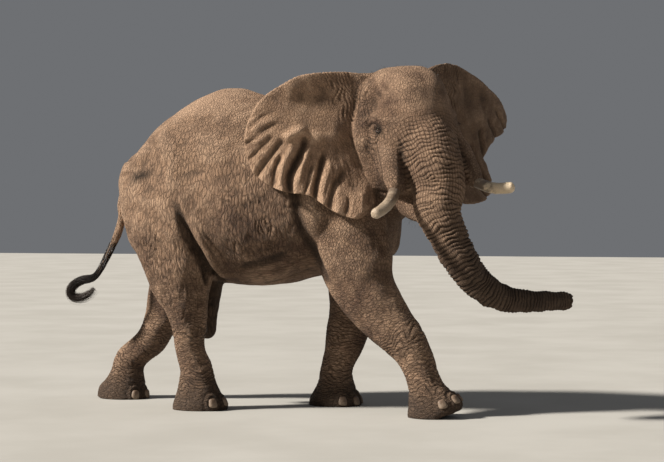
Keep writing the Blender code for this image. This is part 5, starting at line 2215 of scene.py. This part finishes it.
@dataclass
class Eyes:
    """The eyeballs and the margins of the lids round them."""

    columns: int = 48
    rows: int = 32
    margin: float = 0.0021  # radius of the lid margin

    def ball(self, eye: EyeOpening) -> tuple[Surface, Array]:
        """A sphere about the eye's axis, with the angle of each point from that axis.

        Args:
            eye: where it looks and how large it is.

        Returns:
            The closed form, and the angle at each point.
        """
        lat = np.linspace(0.01, math.pi - 0.01, self.rows)[:, None]
        turn = np.linspace(0, 2 * math.pi, self.columns, endpoint=False)[None, :]
        bulge = 1 + 0.035 * bell(lat, 0.5)
        across, up = np.sin(lat) * np.cos(turn), np.sin(lat) * np.sin(turn)
        flat = np.stack([across, up, np.cos(lat) * np.ones_like(turn)], -1)
        points = (flat * bulge[..., None]).reshape(-1, 3) * eye.radius * 0.985
        surface = capped(points @ eye.axes() + eye.centre(), self.columns)
        gaze = np.append(np.repeat(lat.ravel(), self.columns), (0.0, math.pi))
        return surface, gaze

    def lid_margin(self, eye: EyeOpening) -> Surface:
        """A thin closed tube that runs round the opening on the eyeball.

        Args:
            eye: the opening that it runs round.

        Returns:
            The closed form.
        """
        turn = np.linspace(0, 2 * math.pi, 72, endpoint=False)
        across = eye.half_width * np.cos(turn)
        upper, lower = eye.rim(across)
        up = np.where(np.sin(turn) >= 0, upper, lower)
        depth = np.sqrt((eye.radius + 0.0012) ** 2 - across**2 - up**2)
        path = np.stack([across, up, depth], -1)
        ahead = unit(np.roll(path, -1, axis=0) - np.roll(path, 1, axis=0))
        out = unit(path)
        side = np.cross(ahead, out)
        ring = np.linspace(0, 2 * math.pi, 10, endpoint=False)
        offset = out[:, None] * np.cos(ring)[None, :, None] + side[:, None] * np.sin(ring)[None, :, None]
        points = path[:, None] + offset * self.margin
        quads = grid_faces(73, 10) % (72 * 10)
        return Surface(points.reshape(-1, 3) @ eye.axes() + eye.centre(), quads)

    def build(self) -> None:
        """Both eyeballs and lid margins."""
        ball_finish, lid_finish = EyeFinish().material("eye"), LidFinish().material("lid_margin")
        for side in Side:
            name = side.name.lower()
            eye = EyeOpening(side)
            surface, gaze = self.ball(eye)
            mesh = surface.mesh("eyeball_" + name)
            face_out(mesh)
            set_attribute(mesh, "gaze", gaze)
            mesh.shade_smooth()
            dressed(placed("eyeball_" + name, mesh), ball_finish, "eye", ("eye_" + name,))
            mesh = self.lid_margin(eye).mesh("lid_margin_" + name)
            face_out(mesh)
            mesh.shade_smooth()
            dressed(placed("lid_margin_" + name, mesh), lid_finish, "hide")


@dataclass
class Tusks:
    """Two short stout tusks, worn blunt."""

    columns: int = 44
    # The near tusk's ivory and stain are darker copies of the far tusk's colours, as painted shade; it also
    # has more dirt.
    near: IvoryFinish = IvoryFinish((0.430, 0.335, 0.240), (0.150, 0.105, 0.072), (0.30, 0.66), 0.75)
    far: IvoryFinish = IvoryFinish((0.760, 0.600, 0.410), (0.190, 0.140, 0.100), (0.36, 0.56), 0.22)

    def tube(self, side: Side) -> Tube:
        """The tusk from inside its sheath: a quadratic bend, then a quarter ellipse over the tip.

        Args:
            side: which tusk.

        Returns:
            The tube.
        """
        root, corner, tip = np.array(TUSK_ROOT), np.array(TUSK_CORNER), np.array(TUSK_TIP[side])
        share = np.linspace(0, 1, 16)[:, None]
        first = root + (corner - root) * share
        bend = first + ((corner + (tip - corner) * share) - first) * share
        radius = TUSK_RADIUS * (1 - TUSK_TAPER * share[:, 0])
        turn = np.linspace(0.25, 1.0, 5) * (math.pi / 2)
        over = tip + unit(tip - corner) * (0.034 * np.sin(turn))[:, None]
        blunt = radius[-1] * np.maximum(np.cos(turn), 0.03) ** 0.8
        places = from_head(np.vstack([bend, over]), side)
        sizes = np.repeat(np.concatenate([radius, blunt])[:, None], 3, axis=1)
        return Tube(np.hstack([places, sizes]), side=tuple(head_turn()[:, 1]))

    def build(self) -> None:
        """Both tusks."""
        for side, finish in ((Side.RIGHT, self.near), (Side.LEFT, self.far)):
            name = "tusk_" + side.name.lower()
            tube = self.tube(side)
            surface = tube.surface(3, self.columns)
            rows = (len(surface.points) - 2) // self.columns
            along = np.append(np.repeat(np.linspace(0, 1, rows), self.columns), (0.0, 1.0))
            turn = np.linspace(0, 2 * math.pi, self.columns, endpoint=False)
            angle = np.append(np.tile(np.abs(turn - math.pi), rows), (0.0, 0.0))
            mesh = surface.mesh("ivory_" + name)
            face_out(mesh)
            points = mesh_points(mesh)
            dents = 0.0014 * waves(points, 0.09, 91) + 0.0007 * waves(points, 0.03, 92)
            set_points(mesh, points + mesh_normals(mesh) * dents[:, None])
            set_attribute(mesh, "tusk_along", along)
            set_attribute(mesh, "tusk_turn", angle)
            mesh.shade_smooth()
            dressed(placed("ivory_" + name, mesh), finish.material("ivory_" + name), "ivory", (name,))


@dataclass
class Toenails:
    """Broad horn nails round the front of each foot."""

    half_depth: float = 0.023
    half_width: float = 0.043
    half_height: float = 0.043
    forward: float = 0.008
    rows: int = 17
    columns: int = 32

    def nail(self, frame: Matrix) -> tuple[Surface, Array]:
        """A superellipsoid, squared by raising sines and cosines to 0.62, flared towards its lower edge.

        Args:
            frame: its middle and axes.

        Returns:
            The closed form, and how far up each point is, from 0 to 1.
        """
        lat = np.linspace(-0.49, 0.49, self.rows)[:, None] * math.pi
        turn = np.linspace(0, 2 * math.pi, self.columns, endpoint=False)[None, :]

        def squared(values: Array, power: float = 0.62) -> Array:
            """Keeps the sign and raises the size to the power."""
            return np.sign(values) * np.abs(values) ** power

        ring = squared(np.cos(lat))
        rise = squared(np.sin(lat)) * np.ones_like(turn)
        flare = 1.0 - 0.16 * rise
        out = self.half_depth * ring * squared(np.cos(turn), 0.9) * flare
        aside = self.half_width * ring * squared(np.sin(turn)) * flare
        up = self.half_height * rise
        flat = np.stack([out + self.forward - 0.010 * rise - aside**2 * 3.0, aside, up], -1).reshape(-1, 3)
        turned = np.array(frame.to_3x3())
        points = flat @ turned.T + np.array(frame.translation)
        return capped(points, self.columns), np.append((rise.ravel() + 1) / 2, (0.0, 1.0))

    def build(self) -> None:
        """The nails of each foot as one piece."""
        finish = HornFinish().material("toenail")
        for leg in LEGS:
            nails = [self.nail(frame) for frame in leg.nail_frames()]
            whole = nails[0][0]
            for surface, _ in nails[1:]:
                whole = whole.joined(surface)
            mesh = whole.mesh("nails_" + leg.name)
            face_out(mesh)
            set_attribute(mesh, "nail_rise", np.concatenate([rise for _, rise in nails]))
            mesh.shade_smooth()
            nodes = tuple(f"toenail_{leg.name}_{count + 1}" for count in range(len(nails)))
            dressed(placed("nails_" + leg.name, mesh), finish, "toenail", nodes)


@dataclass
class Hair:
    """The tail's tuft, the lashes and the sparse bristles, each strand a thin tapering tube."""

    steps: int = 12
    sides: int = 3
    tuft_strands: int = 820
    upper_lashes: int = 58
    lower_lashes: int = 26

    def strands(
        self, name: str, paths: Array, radius: Array, places: Array, seed: int
    ) -> Thing:
        """Makes tubes along many paths at once.

        A ring of points stands round each place of a path, square to it, and its radius falls
        as (1 - t)^0.6 from root to tip.

        Args:
            name: of the piece.
            paths: strands by steps by 3.
            radius: of each strand at its root.
            places: where each root lies on the unwrap of the skin, two numbers from 0 to 1.
            seed: for the strands' tones.

        Returns:
            The piece, with its tone, run and unwrap.
        """
        count, steps = paths.shape[:2]
        ahead = unit(np.gradient(paths, axis=1))
        side = unit(np.cross(ahead, np.array((0.31, 0.83, 0.46))))
        front = np.cross(ahead, side)
        share = np.linspace(0, 1, steps)
        size = radius[:, None] * np.maximum(1 - share[None, :], 0.02) ** 0.6
        turn = np.linspace(0, 2 * math.pi, self.sides, endpoint=False)
        ring = side[:, :, None] * np.cos(turn)[:, None] + front[:, :, None] * np.sin(turn)[:, None]
        points = paths[:, :, None] + ring * size[:, :, None, None]
        quads = grid_faces(steps, self.sides)
        foot = np.array([[2, 1, 0, 0]])
        last = (steps - 1) * self.sides
        tip = np.array([[last, last + 1, last + 2, last + 2]])
        one = np.vstack([quads, foot, tip])
        every = (one[None] + (np.arange(count) * steps * self.sides)[:, None, None]).reshape(-1, 4)
        mesh = Surface(points.reshape(-1, 3), every).mesh(name)
        tone = np.random.default_rng(seed).uniform(0, 1, count)
        set_attribute(mesh, "strand_tone", np.repeat(tone, steps * self.sides))
        set_attribute(mesh, "strand_run", np.tile(np.repeat(share, self.sides), count))
        corner = held(mesh.loops, "vertex_index", 1, np.int32)[:, 0]
        around = np.tile(np.arange(self.sides) / self.sides, steps)
        patch = np.stack([around, np.repeat(share, self.sides)], -1)
        flat = (places[:, None] + 0.003 * patch[None]).reshape(-1, 2)
        layer = mesh.uv_layers.new(name="OFBake")
        layer.data.foreach_set("uv", np.clip(flat[corner], 0, 1).astype(np.float32).ravel())
        mesh.shade_smooth()
        return placed(name, mesh)

    def tuft(self) -> Thing:
        """Strands from the last of the tail that follow the tuft's loop, some leaving it early.

        Returns:
            The piece.
        """
        chance = np.random.default_rng(101)
        count = self.tuft_strands
        rows = carried(np.array([(x, 0.0, z, r, r, r) for x, z, r in TAIL[TAIL_FLESH - 3 :]]), 8)
        ahead = unit(np.gradient(rows[:, :3], axis=0))
        across = np.tile((0.0, 1.0, 0.0), (len(rows), 1))
        front = np.cross(ahead, across)
        run = np.linspace(0, 1, len(rows))
        start = chance.uniform(0.0, 0.55, count)
        length = chance.uniform(0.45, 0.95, count) * (1 - 0.3 * start)
        end = np.minimum(start + length, 1.0)
        t = start[:, None] + (end - start)[:, None] * np.linspace(0, 1, self.steps)[None, :]
        angle = chance.uniform(0, 2 * math.pi, count)[:, None] + chance.normal(0, 0.5, (count, 1)) * t
        reach = np.sqrt(chance.uniform(0.02, 1, count))[:, None]
        loose = np.abs(chance.normal(0, 1, (count, 1))) * 0.010 * ((t - start[:, None]) / 0.5) ** 2
        radius = np.interp(t, run, rows[:, 3]) * reach * 1.15 + loose
        middle, side, fore = (
            np.stack([np.interp(t, run, part[:, axis]) for axis in range(3)], -1)
            for part in (rows, across, front)
        )
        offset = side * np.cos(angle)[..., None] + fore * np.sin(angle)[..., None]
        paths = middle + offset * radius[..., None]
        paths[..., 2] -= 0.2 * loose
        places = np.stack([(angle[:, 0] / (2 * math.pi)) % 1, start], -1)
        return self.strands("tail_hair", paths, chance.uniform(0.0009, 0.0019, count), places * 0.99, 102)

    def curved(self, roots: Array, out: Array, bend: Array, length: Array) -> Array:
        """Paths that leave their roots along out and turn towards bend: r + L (t out + t^2 bend).

        Args:
            roots: where the strands start.
            out: their first direction.
            bend: where they turn.
            length: of each strand.

        Returns:
            Strands by steps by 3.
        """
        t = np.linspace(0, 1, self.steps)[None, :, None]
        line = out[:, None] * t + bend[:, None] * t**2
        return roots[:, None] + line * length[:, None, None]

    def lashes(self, eye: EyeOpening) -> Thing:
        """Long lashes of the upper lid, fewer and shorter ones below.

        Args:
            eye: whose lashes they are.

        Returns:
            The piece.
        """
        chance = np.random.default_rng(111)
        upper, lower = self.upper_lashes, self.lower_lashes
        across = np.concatenate([chance.uniform(-0.93, 0.93, upper), chance.uniform(-0.8, 0.8, lower)])
        across = across * eye.half_width
        above = np.arange(upper + lower) < upper
        high, low = eye.rim(across)
        up = np.where(above, high + chance.uniform(0.0005, 0.0028, len(across)), low - 0.001)
        depth = np.sqrt((eye.radius + 0.0022) ** 2 - across**2 - up**2)
        roots = np.stack([across, up, depth], -1)
        fan = across / eye.half_width
        out = unit(np.stack([0.45 * fan, np.where(above, 0.18, -0.35), np.ones(len(across))], -1))
        bend = np.stack([0.25 * fan, np.where(above, -0.75, 0.10), np.zeros(len(across))], -1)
        bend += chance.normal(0, 0.09, bend.shape)
        long, short = chance.uniform(0.026, 0.044, len(across)), chance.uniform(0.010, 0.020, len(across))
        length = np.where(above, long, short)
        axes = eye.axes()
        paths = self.curved(roots @ axes + eye.centre(), out @ axes, bend @ axes, length)
        places = np.stack([0.5 + across * 8, np.where(above, 0.6, 0.4)], -1)
        radius = chance.uniform(0.00035, 0.00055, len(across))
        return self.strands("lashes_" + eye.side.name.lower(), paths, radius, places, 112)

    def bristles(self, skin: Thing) -> Thing:
        """Sparse bristles on the crown, the chin and the top of the trunk, rooted in the skin.

        Args:
            skin: what they stand on.

        Returns:
            The piece.
        """
        chance = np.random.default_rng(121)
        points, normals = mesh_points(skin.data), mesh_normals(skin.data)
        head = to_head(points)
        crown = (head[:, 2] > 0.30) & (np.abs(head[:, 1]) < 0.30) & (np.abs(head[:, 0] - 0.10) < 0.45)
        chin = (head[:, 2] < -0.62) & (head[:, 2] > -0.92) & (np.abs(head[:, 1]) < 0.16)
        chin &= np.abs(head[:, 0] - 0.25) < 0.16
        values = held(skin.data.attributes["trunk"].data, "value", 1)[:, 0]
        trunk = (values > 0.8) & (normals[:, 2] > -0.4) & (head[:, 2] < 0.0)
        parts = []
        for place, count, shortest, longest in (
            (crown, 420, 0.022, 0.050),
            (chin, 130, 0.030, 0.075),
            (trunk, 300, 0.010, 0.024),
        ):
            chosen = chance.choice(np.flatnonzero(place), count, replace=False)
            parts.append((chosen, chance.uniform(shortest, longest, count)))
        chosen = np.concatenate([part[0] for part in parts])
        length = np.concatenate([part[1] for part in parts])
        out = unit(normals[chosen] + chance.normal(0, 0.25, (len(chosen), 3)))
        bend = np.array((0.0, 0.0, -0.30)) + chance.normal(0, 0.18, (len(chosen), 3))
        paths = self.curved(points[chosen] - normals[chosen] * 0.001, out, bend, length)
        round_head = (np.arctan2(head[chosen, 1], head[chosen, 0]) / (2 * math.pi)) % 1
        rise = np.clip((head[chosen, 2] + 2.0) / 2.8, 0, 1)
        radius = chance.uniform(0.0004, 0.0007, len(chosen))
        return self.strands("bristles", paths, radius, np.stack([round_head, rise], -1) * 0.99, 122)

    def build(self, skin: Thing) -> None:
        """All the hair.

        Args:
            skin: what the bristles stand on.
        """
        finish = HairFinish().material("hair")
        dressed(self.tuft(), finish, "hair", ("tail_tuft",))
        for side in Side:
            dressed(self.lashes(EyeOpening(side)), finish, "hair")
        dressed(self.bristles(skin), finish, "hair")


# --- The studio ---


@dataclass
class Studio:
    """A floor, a key and a fill light, and the camera at the animal's right side."""

    bearing: float = math.radians(16.0)  # from straight at the side, towards its head
    distance: float = 16.35
    camera_height: float = 1.88
    lens: float = 91.3
    shift: float = -0.0241
    floor_size: float = 120.0
    floor_colours: tuple[Colour, Colour] = ((0.38, 0.365, 0.335), (0.43, 0.415, 0.385))
    key_from: Point = (-14.0, -7.4, 11.6)
    key_spread: float = 6.0  # degrees
    key_strength: float = 7.4
    fill_from: Point = (2.0, -13.0, 6.0)
    fill_spread: float = 60.0
    fill_strength: float = 0.06
    sky: Colour = (0.82, 0.85, 0.90)
    sky_strength: float = 0.19

    def floor(self) -> None:
        """A wide floor under the feet, with faint mottling."""
        half = self.floor_size / 2
        corners = np.array([(-half, -half, 0), (half, -half, 0), (half, half, 0), (-half, half, 0)], float)
        mesh = Surface(corners, np.array([[0, 1, 2, 3]])).mesh("floor")
        floor = placed("floor", mesh)
        graph = Graph("floor")
        patches = graph.noise(graph.place, 0.6, 4.0)
        colour = graph.colour(*self.floor_colours, graph.span(patches, 0.3, 0.7))
        floor.data.materials.append(graph.finish(Base_Color=colour, Roughness=0.85))

    def light(self, name: str, place: Point, spread: float, strength: float, tint: Colour) -> None:
        """A far light that shines evenly from the direction of a place, as soft as its spread in degrees.

        Args:
            name: of the light.
            place: it shines from there to the origin.
            spread: its width in degrees.
            strength: of its light.
            tint: its colour.
        """
        lamp = bpy.data.lights.new(name, "SUN")
        lamp.angle = math.radians(spread)
        lamp.energy = strength
        lamp.color = tint
        thing = bpy.data.objects.new(name, lamp)
        thing.location = place
        thing.rotation_euler = (-Vector(place)).to_track_quat("-Z", "Y").to_euler()
        bpy.context.scene.collection.objects.link(thing)

    def build(self, shift: Array) -> None:
        """Everything round the model.

        Args:
            shift: where the body frame's origin is in the scene.
        """
        self.floor()
        self.light("key", self.key_from, self.key_spread, self.key_strength, (1.0, 0.95, 0.87))
        self.light("fill", self.fill_from, self.fill_spread, self.fill_strength, (0.90, 0.95, 1.0))
        world = bpy.data.worlds.new("studio")
        world.use_nodes = True
        sky = world.node_tree.nodes["Background"]
        sky.inputs["Color"].default_value = (*self.sky, 1.0)
        sky.inputs["Strength"].default_value = self.sky_strength
        bpy.context.scene.world = world
        camera = bpy.data.cameras.new("camera")
        camera.lens = self.lens
        camera.sensor_width = 36.0
        camera.shift_y = self.shift
        camera.clip_end = 200.0
        thing = bpy.data.objects.new("camera", camera)
        away = np.array((math.sin(self.bearing), -math.cos(self.bearing), 0.0)) * self.distance
        thing.location = Vector(away + shift + np.array((0.0, 0.0, self.camera_height)))
        thing.rotation_euler = (math.pi / 2, 0.0, self.bearing)
        bpy.context.scene.collection.objects.link(thing)
        bpy.context.scene.camera = thing
        bpy.context.scene.view_settings.view_transform = "Standard"


def moved_to_scene(shift: Array) -> None:
    """Moves the mesh of each new piece from the body frame to the scene, leaving its object at the origin.

    Args:
        shift: where the body frame's origin is in the scene.
    """
    for thing in bpy.data.objects:
        if thing.type == "MESH" and thing.get("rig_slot"):
            set_points(thing.data, mesh_points(thing.data) + shift)


def main() -> None:
    """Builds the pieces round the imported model."""
    logging.basicConfig(level=logging.INFO, format="%(name)s: %(message)s")
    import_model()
    low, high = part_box("eye_left")
    shift = (np.array(low) + np.array(high)) / 2 - from_head(np.array(EYE_PLACE), Side.LEFT)[0]
    log.info("body frame at %s", np.round(shift, 4))
    skin_maker = Skin()
    skin = skin_maker.build()
    dressed(skin, HideFinish().material("hide"), "hide", FLESH_NODES + LIMB_NODES)
    Eyes().build()
    Tusks().build()
    Toenails().build()
    Hair().build(skin)
    moved_to_scene(shift)
    Studio().build(shift)


if __name__ == "__main__":
    main()
